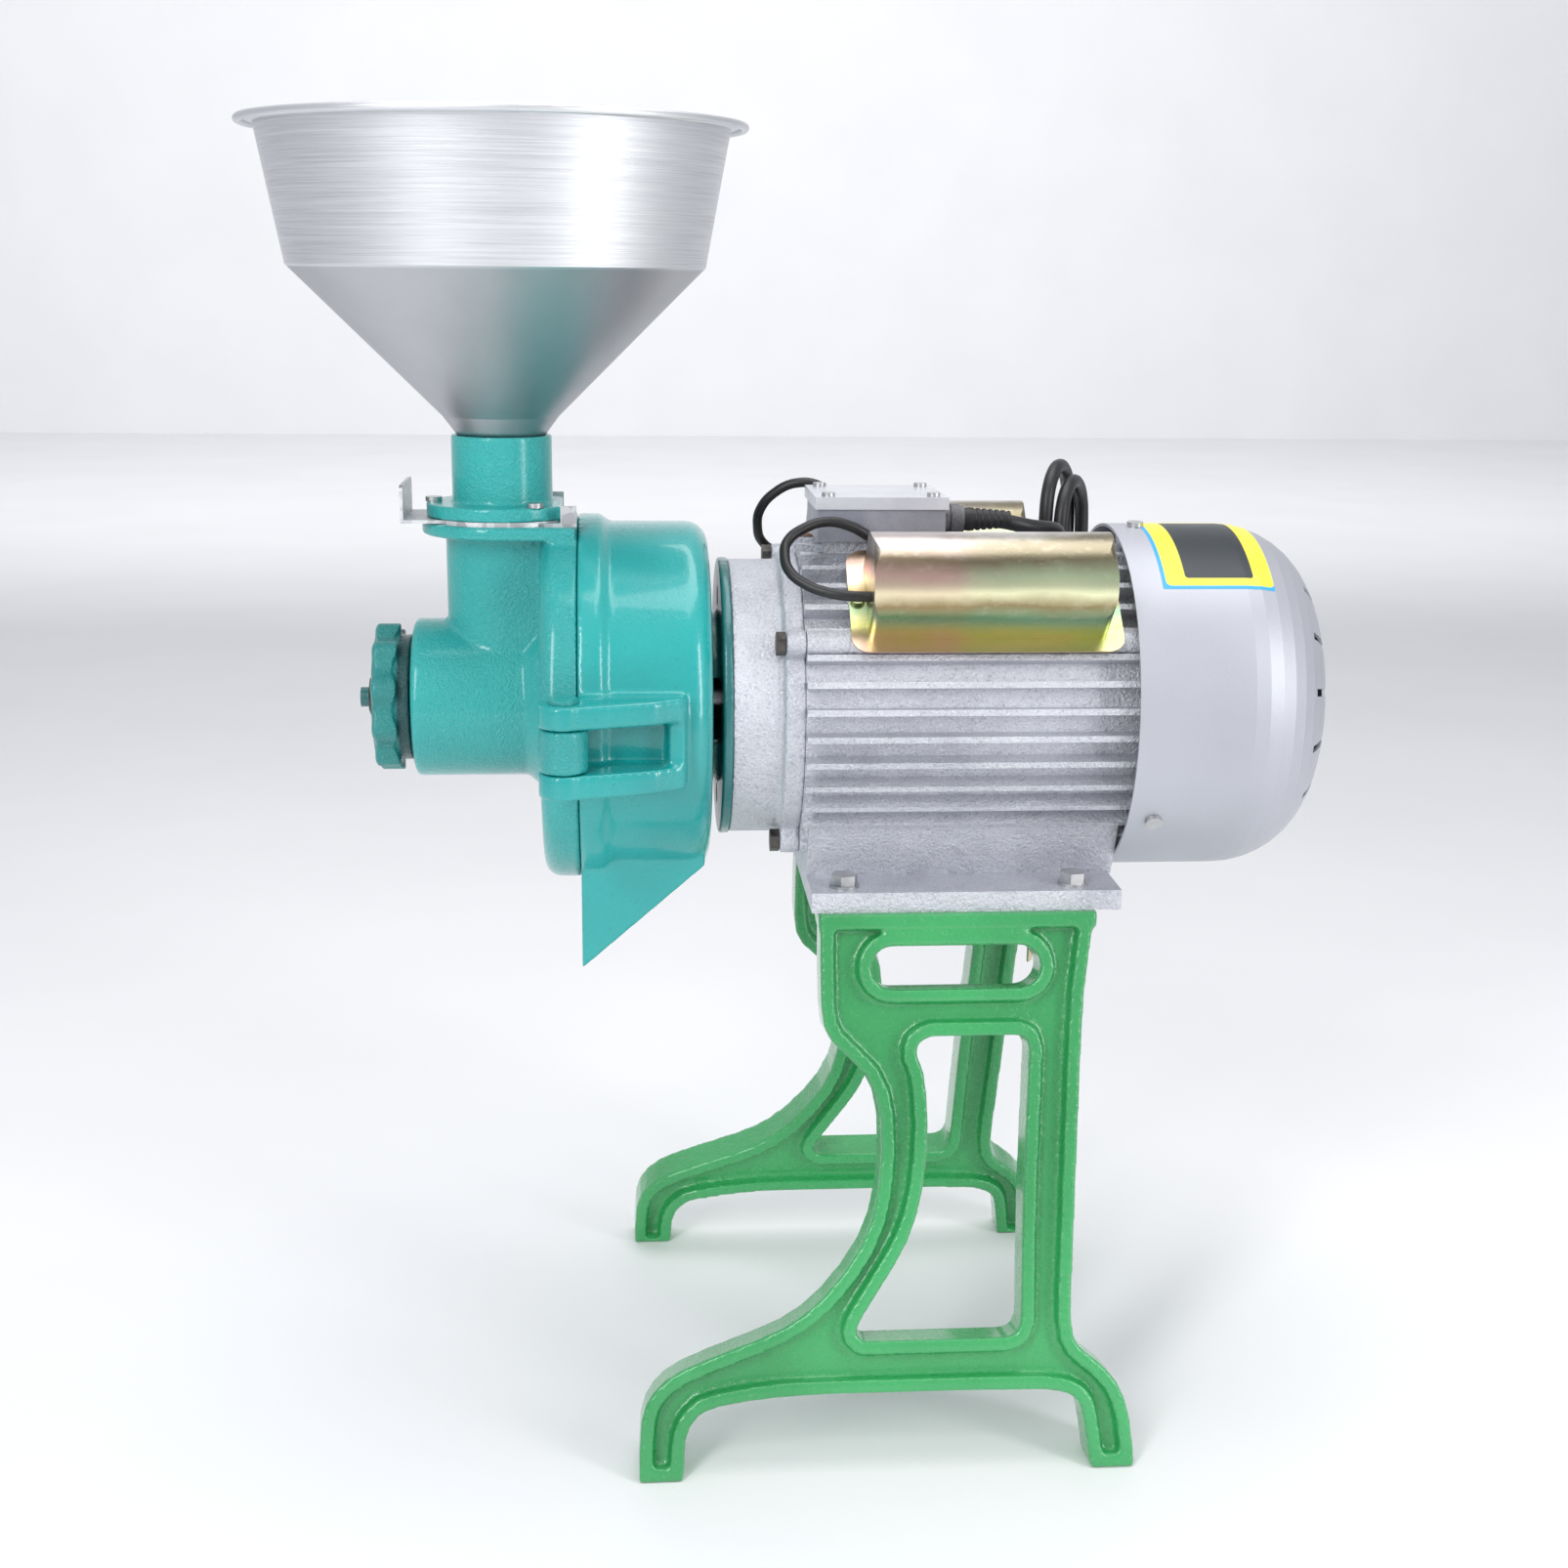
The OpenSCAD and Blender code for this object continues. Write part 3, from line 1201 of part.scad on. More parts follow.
coarse_to = 54;
fine_tooth_w = 3;
coarse_tooth_w = 5;
tooth_slant = 16;
// Ring of straight teeth, each turned a little off the radius
module tooth_ring(count, r0, r1, w, slant) {
  for (i = [0:count - 1]) rotate([0, 0, i * 360 / count]) translate([r0, 0, -sink])
    rotate([0, 0, slant]) translate([0, -w / 2, 0]) cube([r1 - r0, w, tooth_h + sink]);
}
module toothed_plate(eye, slant) {
  difference() {
    union() {
      cylinder(h = disc_t, r = disc_r, $fn = fine_fn);
      translate([0, 0, disc_t]) intersection() {
        union() {
          tooth_ring(fine_teeth, fine_from, disc_r + 2 * tooth_h, fine_tooth_w, slant);
          tooth_ring(coarse_teeth, coarse_from, coarse_to, coarse_tooth_w, slant);
        }
        translate([0, 0, -2 * sink]) cylinder(h = 4 * tooth_h, r = disc_r, $fn = fine_fn);
      }
    }
    translate([0, 0, -over]) cylinder(h = disc_t + tooth_h + 2 * over, r = eye, $fn = fine_fn);
    for (a = disc_screw_angles) rotate([0, 0, a]) translate([disc_screw_r, 0, -over])
      cylinder(h = disc_t - sink + over, r = small_screw_r + run_gap);
  }
}
module moving_disc() {
  color("gray") place() translate([carrier_x, 0, axis_z]) rotate([0, -90, 0]) rotate([0, 0, 90])
    toothed_plate(moving_eye_r, tooth_slant);
}
module disc_screws() {
  color("silver") place() {
    screw_ring(carrier_x + carrier_t + seat_gap / 3, head_h, head_r, disc_screw_r, moving_screw_angles);
    screw_ring(carrier_x - disc_t / 2, carrier_t + disc_t / 2 + sink, small_screw_r, disc_screw_r,
      moving_screw_angles);
  }
}
// The same screws read as places about the shaft, seen from each disc's back
moving_screw_angles = [for (a = disc_screw_angles) a + 180];
fixed_screw_angles = [for (a = disc_screw_angles) 180 - a];

auger_room = 18.5;
auger_tip = -cyl_reach + cyl_front_t + auger_room;
auger_pitch_l = nose_x - auger_tip;
flight_t = 5;
flight_in = 4.5;
flight_from = nose_x - flight_in;
flight_rings = 24;
// The flight shrinks forwards, so that the cover can swing open round it
function auger_r(x) = sqrt(pow(pin_y + eye_r, 2) - pow(x + pin_ahead, 2)) - pin_y - 5 * seat_gap;
auger_count = ceil(auger_turns * flight_rings);
module auger_flight() {
  sections = [for (i = [0:auger_count]) let (
      a = 360 * auger_turns * i / auger_count,
      x = flight_from - flight_t - (flight_from - auger_tip - 2 * flight_t) * i / auger_count,
      ro = min(auger_r(x - flight_t / 2), auger_r(x + flight_t / 2)))
    for (c = [[auger_core_r - 2 * sink, -0.5], [ro, -0.5], [ro, 0.5], [auger_core_r - 2 * sink, 0.5]])
      [x + c[1] * flight_t, c[0] * cos(a), c[0] * sin(a)]];
  walls = [for (i = [0:auger_count - 1], k = [0:3]) let (a = 4 * i + k, b = 4 * i + (k + 1) % 4)
    each [[a, b, a + 4], [b, b + 4, a + 4]]];
  polyhedron(points = sections, faces = concat([[3, 2, 1, 0]],
    [[for (k = [0:3]) 4 * auger_count + k]], walls), convexity = 8);
}
module feed_auger() {
  color("gray") place() {
    bar_x(auger_tip, auger_pitch_l - face_gap, auger_core_r);
    translate([0, 0, axis_z]) auger_flight();
  }
}
spring_wire = 2.4;
spring_r = 17;
spring_turns = 2.5;
spring_rings = 16;
module thrust_spring() {
  n = spring_turns * spring_rings;
  from = hub_end + spring_wire / 2 + seat_gap;
  to = collar_x - spring_wire / 2 - seat_gap;
  color("silver") place() swept_tube([for (i = [0:n]) let (a = 360 * i / spring_rings)
    [from + (to - from) * i / n, spring_r * cos(a), axis_z + spring_r * sin(a)]], spring_wire, 6);
}

// The thrust screw, its ball and the handwheel

ball_x = auger_tip - ball_r - run_gap;
cup_depth = 5;
nub_r = 5.5;
nub_l = 9;
wheel_gap = 1.3;
wheel_back = -cyl_reach - wheel_gap;
wheel_front = wheel_back - wheel_neck_l - wheel_t;
wheel_nut_t = 4;
wheel_nut_r = 10.5;
module thrust_ball() {
  color("silver") place() translate([ball_x, 0, axis_z]) sphere(r = ball_r, $fn = fine_fn);
}
module thrust_screw() {
  color("silver") place() difference() {
    union() {
      bar_x(wheel_front, ball_x - ball_r + cup_depth - wheel_front, screw_r);
      bar_x(wheel_front - nub_l, nub_l + sink, nub_r);
    }
    bar_x(ball_x - ball_r - run_gap, cup_depth + over, ball_r + run_gap);
  }
}
dish_r0 = 13;
dish_r1 = 31;
dish_depth = 5;
wheel_round = 5;
groove_d = 1;
groove_count = 3;
function lobed(r, d, n, steps) = [for (i = [0:steps - 1]) let (a = 360 * i / steps)
  (r + d * cos(n * a)) * [cos(a), sin(a)]];
module handwheel() {
  color("teal") place() difference() {
    union() {
      along_x(wheel_front) intersection() {
        linear_extrude(height = wheel_t)
          polygon(lobed(wheel_r - wheel_lobe / 2, wheel_lobe / 2, wheel_lobes, 12 * wheel_lobes));
        rotate_extrude($fn = fine_fn) intersection() {
          square([wheel_r + over, wheel_t + over]);
          union() {
            square([wheel_r - wheel_round, wheel_t + over]);
            translate([0, wheel_round]) square([wheel_r + over, wheel_t]);
            translate([wheel_r + over - wheel_round, wheel_round]) circle(r = wheel_round);
          }
        }
      }
      bar_x(wheel_front + wheel_t - sink, wheel_neck_l + sink, wheel_neck_r - groove_d);
      for (i = [0:groove_count - 1])
        bar_x(wheel_front + wheel_t + i * wheel_neck_l / groove_count - (i == 0 ? sink : 0),
          wheel_neck_l / groove_count / 2 + (i == 0 ? sink : 0), wheel_neck_r);
      bar_x(wheel_back - sink, sink, wheel_neck_r);
    }
    difference() {
      bar_x(wheel_front - over, dish_depth + over, dish_r1);
      bar_x(wheel_front - 2 * over, dish_depth + 3 * over, dish_r0);
    }
    bar_x(wheel_front - over, wheel_t + wheel_neck_l + 2 * over, screw_r + run_gap / 2);
  }
}
module wheel_nut() {
  color("silver") place() along_x(wheel_front - wheel_nut_t - face_gap) difference() {
    cylinder(h = wheel_nut_t, r = wheel_nut_r, $fn = 6);
    translate([0, 0, -over]) cylinder(h = wheel_nut_t + 2 * over, r = nub_r + run_gap / 2);
  }
}

// The front cover: one casting with its feed cylinder, inlet and hinge knuckle

throat_over = 2.5;
throat_flange_r = tube_flange_r + throat_over;
throat_back = 9;
throat_cut = throat_x - throat_back;
throat_half_w = 40;
flange_screw_r = 37;
flange_screw_angles = [180, 60, 300];
web_t = 15;
hollow_in = 2;
counter_h = 4;
cyl_edge = 3;
module throat_screws(z, h, r) {
  for (a = flange_screw_angles) translate([-throat_x + flange_screw_r * cos(a),
    flange_screw_r * sin(a), z])
    cylinder(h = h, r = r);
}
module front_cover() {
  color("lightseagreen") place() difference() {
    union() {
      // Disc with its rounded shoulder, then the cylinder with a softened lip
      along_x(-cover_t) rotate_extrude($fn = fine_fn) polygon(concat(
        [[0, 0]], corner_arc(cover_r - cover_round, cover_round, cover_round, -90, 0),
        [[cover_r, cover_t - face_gap], [0, cover_t - face_gap]]));
      along_x(-cyl_reach) rotate_extrude($fn = fine_fn) polygon(concat(
        [[0, 0]], corner_arc(cyl_r - cyl_edge, cyl_edge, cyl_edge, -90, 0),
        [[cyl_r, cyl_reach - cover_t + sink], [0, cyl_reach - cover_t + sink]]));
      // Fillets where cylinder and inlet grow out of the disc
      along_x(-cover_t - cover_round) cylinder(h = cover_round + sink, r1 = cyl_r,
        r2 = cyl_r + cover_round, $fn = fine_fn);
      translate([-throat_x, 0, axis_z]) cylinder(h = throat_h - sink, r = inlet_r, $fn = fine_fn);
      // Flange under the feed tube, run back to the cover's rim
      translate([-throat_x, 0, throat_z - throat_flange_t]) linear_extrude(height = throat_flange_t) {
        intersection() {
          circle(r = throat_flange_r, $fn = fine_fn);
          translate([-2 * throat_x, -2 * throat_x]) square([2 * throat_x, 4 * throat_x]);
        }
        translate([-sink, -throat_flange_r]) square([throat_x - seat_gap, 2 * throat_flange_r]);
      }
      translate([-throat_x, -inlet_r, axis_z]) cube([throat_x - cover_hollow, 2 * inlet_r,
        throat_h - sink]);
      // Hinge knuckle and its web
      translate([-pin_ahead, -pin_y, knuckle_z - knuckle_h / 2 + seat_gap])
        cylinder(h = knuckle_h - 2 * seat_gap, r = boss_r - seat_gap, $fn = fine_fn);
      translate([-pin_ahead - web_t / 2 - sink, -pin_y, knuckle_z - knuckle_h / 2 + seat_gap])
        cube([web_t, pin_y - cover_r + arm_in, knuckle_h - 2 * seat_gap]);
      // Lug for the clamp screw
      translate([-lug_t - seat_gap, cover_r - arm_in, axis_z - lug_half_h])
        cube([lug_t, lug_y + lug_reach - cover_r + arm_in, 2 * lug_half_h]);
    }
    bar_x(-cover_hollow, cover_t, cover_r - drum_wall - hollow_in);
    bar_x(-cyl_reach + cyl_front_t, cyl_reach, bore_r);
    bar_x(-cyl_reach - over, cyl_front_t + 2 * over, screw_r + run_gap);
    translate([-throat_x, 0, axis_z]) cylinder(h = throat_h + over, r = tube_bore_r, $fn = fine_fn);
    throat_screws(throat_z - throat_flange_t - over, throat_flange_t + 2 * over,
      small_screw_r + run_gap);
    translate([-pin_ahead, -pin_y, knuckle_z - knuckle_h]) cylinder(h = 2 * knuckle_h,
      r = pin_r + run_gap);
    translate([-2 * lug_t, lug_y, axis_z]) rotate([0, 90, 0]) cylinder(h = 3 * lug_t,
      r = clamp_r + run_gap);
    screw_ring(-cover_t - over, cover_t, small_screw_r + screw_gap / 2, disc_screw_r,
      fixed_screw_angles);
    screw_ring(-cover_t - over, counter_h + over, head_r + screw_gap / 2, disc_screw_r,
      fixed_screw_angles);
  }
}
module fixed_disc() {
  color("gray") place() translate([-cover_hollow + face_gap, 0, axis_z]) rotate([0, 90, 0])
    rotate([0, 0, 90])
    toothed_plate(eye_r, tooth_slant);
}
module fixed_disc_screws() {
  color("gray") place() {
    screw_ring(-cover_t + counter_h - head_h - seat_gap / 3, head_h, head_r, disc_screw_r,
      fixed_screw_angles);
    screw_ring(-cover_t + sink, cover_t - cover_hollow + disc_t / 2, small_screw_r, disc_screw_r,
      fixed_screw_angles);
  }
}

// The throat: guide, gate, tube and their screws

rail_share = 0.72;
rail_from = throat_x + tube_flange_r * rail_share;
rail_end = cover_t - cover_round + seat_gap;
ear_h = 11;
ear_l = 8.5;
ear_y = 37;
ear_in_x = [-9, -17.5];
module gate_rails() {
  color("silver") place() difference() {
    union() {
      translate([0, 0, throat_z]) linear_extrude(height = gate_gap_t - face_gap) difference() {
        intersection() {
          translate([-throat_x, 0]) circle(r = tube_flange_r, $fn = fine_fn);
          translate([-rail_from, -throat_half_w]) square([rail_from - rail_end, 2 * throat_half_w]);
        }
        translate([-2 * rail_from, -gate_w / 2 - seat_gap])
          square([2 * rail_from - gate_end + seat_gap, gate_w + 2 * seat_gap]);
      }
      // An ear turned up on each rail at the drum's side
      for (s = [0, 1]) translate([ear_in_x[s], (s == 0 ? -1 : 1) * ear_y - gate_t / 2, throat_z])
        cube([ear_l, gate_t, ear_h]);
      for (s = [0, 1]) translate([ear_in_x[s] - ear_l,
        (s == 0 ? -1 : 1) * (ear_y - gate_t * 1.5) - gate_t * 2, throat_z])
        cube([2 * ear_l, gate_t * 4, gate_gap_t - 2 * seat_gap]);
    }
    throat_screws(throat_z - over, gate_gap_t + 2 * over, small_screw_r + screw_gap / 2);
    // The cover's rim stands up between the two rails
    bar_x(-cover_t, cover_t, cover_r + seat_gap);
  }
}
gate_lip = 16;
gate_from = throat_x + flange_screw_r + gate_lip;
gate_back = 4;
gate_end = rail_end + gate_back;
tab_h = 20;
gate_slot_r = small_screw_r + screw_gap;
module slide_gate() {
  color("gainsboro") place() difference() {
    union() {
      translate([-gate_from, -gate_w / 2, throat_z + seat_gap])
        cube([gate_from - gate_end - seat_gap, gate_w, gate_t]);
      translate([-gate_from, 0, throat_z + seat_gap]) rotate([90, 0, 90])
        linear_extrude(height = gate_t)
        translate([0, tab_h / 2]) {
          square([gate_w - 2 * gate_slot_r, tab_h], center = true);
          translate([0, -gate_slot_r / 2]) square([gate_w, tab_h - gate_slot_r], center = true);
          for (s = [-1, 1]) translate([s * (gate_w / 2 - gate_slot_r), tab_h / 2 - gate_slot_r])
            circle(r = gate_slot_r);
        }
    }
    translate([-throat_x - flange_screw_r, 0, throat_z]) {
      for (x = [0, gate_travel]) translate([x, 0, 0]) cylinder(h = 2 * gate_t, r = gate_slot_r);
      translate([0, -gate_slot_r, 0]) cube([gate_travel, 2 * gate_slot_r, 2 * gate_t]);
    }
  }
}
module feed_tube() {
  color("lightseagreen") place() difference() {
    union() {
      translate([-throat_x, 0, tube_z]) linear_extrude(height = throat_flange_t) intersection() {
        circle(r = tube_flange_r, $fn = fine_fn);
        translate([-2 * tube_flange_r, -tube_flange_r])
          square([2 * tube_flange_r + throat_cut, 2 * tube_flange_r]);
      }
      translate([-throat_x, 0, tube_z]) cylinder(h = throat_flange_t + tube_h, r = tube_r,
        $fn = fine_fn);
    }
    translate([-throat_x, 0, tube_z - over]) cylinder(h = throat_flange_t + tube_h + 2 * over,
      r = tube_bore_r, $fn = fine_fn);
    throat_screws(tube_z - over, throat_flange_t + 2 * over, small_screw_r + screw_gap / 2);
  }
}
module flange_screws() {
  color("silver") place() {
    throat_screws(tube_z + throat_flange_t + face_gap, pan_h, pan_r);
    throat_screws(throat_z - throat_flange_t, tube_z - throat_z + 2 * throat_flange_t + sink,
      small_screw_r);
  }
}

// The hopper stands loose in the tube on its short lower cone
hopper_z = tube_top + seat_gap / 3 - (tube_bore_r - spout_r) * hopper_low_h / (hopper_low_r - spout_r);
hopper_h = hopper_low_h + hopper_cone_h + hopper_band_h;
bead_r = 2.2;
lip_rise = 2;
slope_share = 1.2;
function hopper_side(d) = [[spout_r - d, -spout_l], [spout_r - d, 0],
  [hopper_low_r - d * slope_share, hopper_low_h],
  [hopper_mid_r - d * slope_share, hopper_low_h + hopper_cone_h], [hopper_top_r - d, hopper_h],
  [hopper_rim_r - bead_r - d, hopper_h + lip_rise]];
function reversed(p) = [for (i = [len(p) - 1:-1:0]) p[i]];
module hopper() {
  color("silver") place() translate([-throat_x, 0, hopper_z]) rotate_extrude($fn = fine_fn) {
    polygon(concat([for (q = hopper_side(0)) q],
      [[hopper_rim_r - bead_r, hopper_h + lip_rise + hopper_t]],
      [[hopper_top_r - hopper_t, hopper_h + hopper_t]],
        reversed([for (i = [0:3]) hopper_side(hopper_t)[i]])));
    translate([hopper_rim_r - bead_r, hopper_h + lip_rise + hopper_t - bead_r]) circle(r = bead_r,
      $fn = hull_fn);
  }
}

// Clamp screw on the far side, with a hand knob
knob_r = 15;
knob_t = 12;
knob_lobes = 6;
clamp_neck = 14;
clamp_washer_r = 9;
module clamp_washer() {
  color("silver") place() translate([-lug_t - seat_gap - washer_t - face_gap, lug_y, axis_z])
    rotate([0, 90, 0])
    difference() {
      cylinder(h = washer_t, r = clamp_washer_r);
      translate([0, 0, -over]) cylinder(h = washer_t + 2 * over, r = clamp_r + run_gap);
    }
}
module clamp_screw() {
  back = -lug_t - 2 * seat_gap - washer_t;
  color("dimgray") place() translate([0, lug_y, axis_z]) rotate([0, 90, 0]) {
    translate([0, 0, back - clamp_neck - knob_t]) linear_extrude(height = knob_t)
      polygon(lobed(knob_r - wheel_lobe, wheel_lobe, knob_lobes, 12 * knob_lobes));
    translate([0, 0, back - clamp_neck - sink]) cylinder(h = clamp_neck + sink, r = knob_r / 2);
    translate([0, 0, back - sink]) cylinder(h = lug_t - back, r = clamp_r);
  }
}

stand_leg_near();
stand_leg_far();
foot_bolts();
foot_nuts();
motor_frame();
front_end_shield();
rear_end_shield();
shield_bolts();
stator_core();
stator_winding();
bearings();
fan_cover();
fan_cover_screws();
junction_box();
junction_box_lid();
lid_screws();
cord_gland();
capacitor_cover_near();
capacitor_cover_far();
capacitors();
capacitor_screws();
capacitor_lead_near();
capacitor_lead_far();
adapter_neck();
adapter_screws();
drum_screws();
drum_body();
shaft_seal();
hinge_pin();
power_cord();
cord_hank();
hank_tie();
power_plug();
motor_shaft();
rotor_core();
cooling_fan();
spring_collar();
shaft_key();
disc_carrier();
moving_disc();
disc_screws();
feed_auger();
thrust_spring();
thrust_ball();
front_cover();
fixed_disc();
fixed_disc_screws();
gate_rails();
slide_gate();
feed_tube();
flange_screws();
hopper();
clamp_washer();
clamp_screw();
handwheel();
thrust_screw();
wheel_nut();
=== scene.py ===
import json
import math

import bpy
from mathutils import Matrix, Vector


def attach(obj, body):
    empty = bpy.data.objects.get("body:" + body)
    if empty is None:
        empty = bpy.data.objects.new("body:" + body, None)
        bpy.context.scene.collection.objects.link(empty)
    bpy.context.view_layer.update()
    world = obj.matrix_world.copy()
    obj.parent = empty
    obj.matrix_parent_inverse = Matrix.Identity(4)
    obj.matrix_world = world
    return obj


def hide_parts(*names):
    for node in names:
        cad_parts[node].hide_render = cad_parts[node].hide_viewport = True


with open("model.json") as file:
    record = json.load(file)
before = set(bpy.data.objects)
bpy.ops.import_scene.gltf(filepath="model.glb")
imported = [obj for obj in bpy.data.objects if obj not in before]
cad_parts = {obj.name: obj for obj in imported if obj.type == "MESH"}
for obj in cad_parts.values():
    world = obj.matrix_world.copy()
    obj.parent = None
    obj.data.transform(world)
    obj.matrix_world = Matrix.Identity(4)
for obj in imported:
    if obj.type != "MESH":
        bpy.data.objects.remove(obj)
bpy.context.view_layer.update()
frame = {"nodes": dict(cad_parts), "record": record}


# Stand legs. Each is one iron casting with a recessed web between raised rims,
# dipped in a green hammered enamel that pools on the web and thins on the rims.
class Film:
    """A value, colour or vector on its way through the nodes of a finish."""

    def __init__(self, tree, out=None):
        self.tree = tree
        self.out = out

    def brew(self, kind, settings=None, sockets=None, out=0):
        """Adds a node of this kind, and gives what comes out of it."""
        node = self.tree.nodes.new("ShaderNode" + kind)
        for key, value in (settings or {}).items():
            if key == "stops":
                stops = node.color_ramp.elements
                while len(stops) < len(value):
                    stops.new(1.0)
                for stop, (place, colour) in zip(stops, value):
                    stop.position = place
                    stop.color = (*colour, 1.0)
            else:
                setattr(node, key, value)
        for key, value in (sockets or {}).items():
            if isinstance(value, Film):
                self.tree.links.new(value.out, node.inputs[key])
            else:
                node.inputs[key].default_value = value
        return Film(self.tree, node.outputs[out])

    def maths(self, operation, other=0.0):
        """A sum of this value and another, by the Math node's name for it."""
        return self.brew("Math", {"operation": operation}, {0: self, 1: other})

    def __add__(self, other):
        return self.maths("ADD", other)

    __radd__ = __add__

    def __sub__(self, other):
        return self.maths("SUBTRACT", other)

    def __rsub__(self, other):
        return self.brew("Math", {"operation": "SUBTRACT"}, {0: other, 1: self})

    def __mul__(self, other):
        return self.maths("MULTIPLY", other)

    __rmul__ = __mul__

    def axis(self, letter):
        """How far this vector reaches along X, Y or Z."""
        return self.brew("SeparateXYZ", {}, {"Vector": self}, letter)

    def above(self, low, high):
        """0 under low, 1 over high, and a soft step between them."""
        return self.brew("MapRange", {"interpolation_type": "SMOOTHSTEP"},
                         {"Value": self, "From Min": low, "From Max": high})

    def grain(self, scale, detail=2.0, rough=0.5, stretch=(1, 1, 1)):
        """Cloudy noise over this vector, with scale spots to the metre."""
        spread = self.brew("Mapping", {}, {"Vector": self, "Scale": stretch})
        return self.brew("TexNoise", {}, {"Vector": spread, "Scale": scale,
                                          "Detail": detail, "Roughness": rough})

    def cells(self, scale, out="Distance"):
        """How far each point lies from the middle of its cell."""
        return self.brew("TexVoronoi", {}, {"Vector": self, "Scale": scale}, out)

    def flecks(self, scale):
        """A number of its own for each cell, from 0 to 1."""
        return self.brew("SeparateColor", {}, {"Color": self.cells(scale, "Color")})

    def mix(self, first, second):
        """The first colour where this mask is 0, the second where it is 1."""
        first, second = [colour if isinstance(colour, Film) else (*colour, 1.0)
                         for colour in (first, second)]
        factor, colour_a, colour_b, result = 0, 6, 7, 2  # the colour sockets of a Mix node
        return self.brew("Mix", {"data_type": "RGBA"},
                         {factor: self, colour_a: first, colour_b: second}, result)

    def tint(self, mask, other):
        """This colour where mask is 0, the other one where it is 1."""
        return mask.mix(self, other)

    def ramp(self, *stops):
        """A colour for each height of this noise, from stops of height and colour."""
        return self.brew("ValToRGB", {"stops": stops}, {"Fac": self})

    def between(self, dark, light):
        """One colour in the low parts of this noise, drifting to another in the high."""
        return self.ramp((0.3, dark), (0.7, light))

    def dents(self, distance, strength=1.0, under=None):
        """Bumps up to distance high, in metres, over those that lie under them."""
        sockets = {"Height": self, "Distance": distance, "Strength": strength}
        if under is not None:
            sockets["Normal"] = under
        return self.brew("Bump", {}, sockets)


def start_finish(name, metal=0.0, coat=0.0, coat_rough=0.1):
    """A new finish, with where each point lies on its piece."""
    finish = bpy.data.materials.new(name)
    finish.use_nodes = True
    skin = finish.node_tree.nodes["Principled BSDF"]
    skin.inputs["Metallic"].default_value = metal
    skin.inputs["Coat Weight"].default_value = coat
    skin.inputs["Coat Roughness"].default_value = coat_rough
    place = Film(finish.node_tree).brew("TexCoord", out="Object")
    return finish, place


def lay_on(finish, colour, rough, normal=None):
    """Gives a finish its colour, roughness and dents, and hands it back."""
    skin = finish.node_tree.nodes["Principled BSDF"]
    for socket, value in (("Base Color", colour), ("Roughness", rough), ("Normal", normal)):
        if isinstance(value, Film):
            finish.node_tree.links.new(value.out, skin.inputs[socket])
        elif value is not None:
            skin.inputs[socket].default_value = value
    return finish


def work(piece, step, kind, **settings):
    """Runs a modifier on the active piece, and keeps what it makes."""
    tool = piece.modifiers.new(step, kind)
    for key, value in settings.items():
        setattr(tool, key, value)
    bpy.ops.object.modifier_apply(modifier=step)


def recast(name, finish, voxel, relax):
    """Stands in for a casting, with each edge rounded as its sand mould leaves it."""
    solid = frame["nodes"][name]
    piece = bpy.data.objects.new(name + "_cast", solid.data.copy())
    piece.data.transform(solid.matrix_world)
    bpy.context.scene.collection.objects.link(piece)
    bpy.ops.object.select_all(action="DESELECT")
    piece.select_set(True)
    bpy.context.view_layer.objects.active = piece
    bpy.ops.object.mode_set(mode="EDIT")
    bpy.ops.mesh.select_all(action="SELECT")
    bpy.ops.mesh.remove_doubles(threshold=same_point)
    bpy.ops.object.mode_set(mode="OBJECT")
    work(piece, "skin", "REMESH", mode="VOXEL", voxel_size=voxel)
    work(piece, "fettle", "SMOOTH", factor=0.5, iterations=relax)
    bpy.ops.object.shade_smooth()
    piece.data.materials.clear()
    piece.data.materials.append(finish)
    record = frame["record"]
    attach(piece, next(body for body, nodes in record["behaviour"]["bodies"].items()
                        if name in nodes))
    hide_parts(name)
    return piece


def give(finish, *names):
    """Puts a finish on pieces that keep the shape of their solid."""
    for name in names:
        piece = frame["nodes"][name]
        if not piece.material_slots:
            piece.data.materials.append(None)
        for seat in piece.material_slots:
            seat.link = "OBJECT"
            seat.material = finish


same_point = 1e-6
green, where = start_finish("green_hammered_enamel", coat=0.8, coat_rough=0.14)
pools = where.grain(9, detail=3)
peel = where.grain(260, detail=3, rough=0.55)
pits = where.cells(190)
painted_sparkle_specks = where.grain(420, detail=3, rough=0.7)
tone = pools.above(0.35, 0.68).mix((0.024, 0.285, 0.080), (0.038, 0.375, 0.112))
# Light green specks are painted sparkle of the hammered enamel.
tone = tone.tint(painted_sparkle_specks.above(0.60, 0.74) * 0.25, (0.20, 0.50, 0.27))
tone = tone.tint((1 - pits).above(0.84, 0.99) * 0.25, (0.010, 0.125, 0.040))
green_hammered = lay_on(green, tone, 0.20 + peel * 0.18,
                        peel.dents(0.0016, strength=0.7, under=pits.dents(0.0004, strength=0.35)))
for leg in ("stand_leg_near", "stand_leg_far"):
    recast(leg, green_hammered, voxel=0.0013, relax=7)


# Foot bolts and nuts. Zinc plated steel hexagons with plain washers, which hold
# the motor's foot to the flange of each leg.
zinc, where = start_finish("bright_zinc_plate", metal=1.0)
cloud = where.grain(70, detail=4, rough=0.6)
scratch = where.grain(30, detail=3, rough=0.6, stretch=(1, 40, 40))
tone = cloud.ramp((0.30, (0.42, 0.42, 0.43)), (0.55, (0.60, 0.60, 0.60)),
                  (0.75, (0.72, 0.71, 0.68)))
bright_zinc = lay_on(zinc, tone, 0.26 + scratch * 0.22, scratch.dents(0.0002, strength=0.25))
give(bright_zinc, "foot_bolts", "foot_nuts")
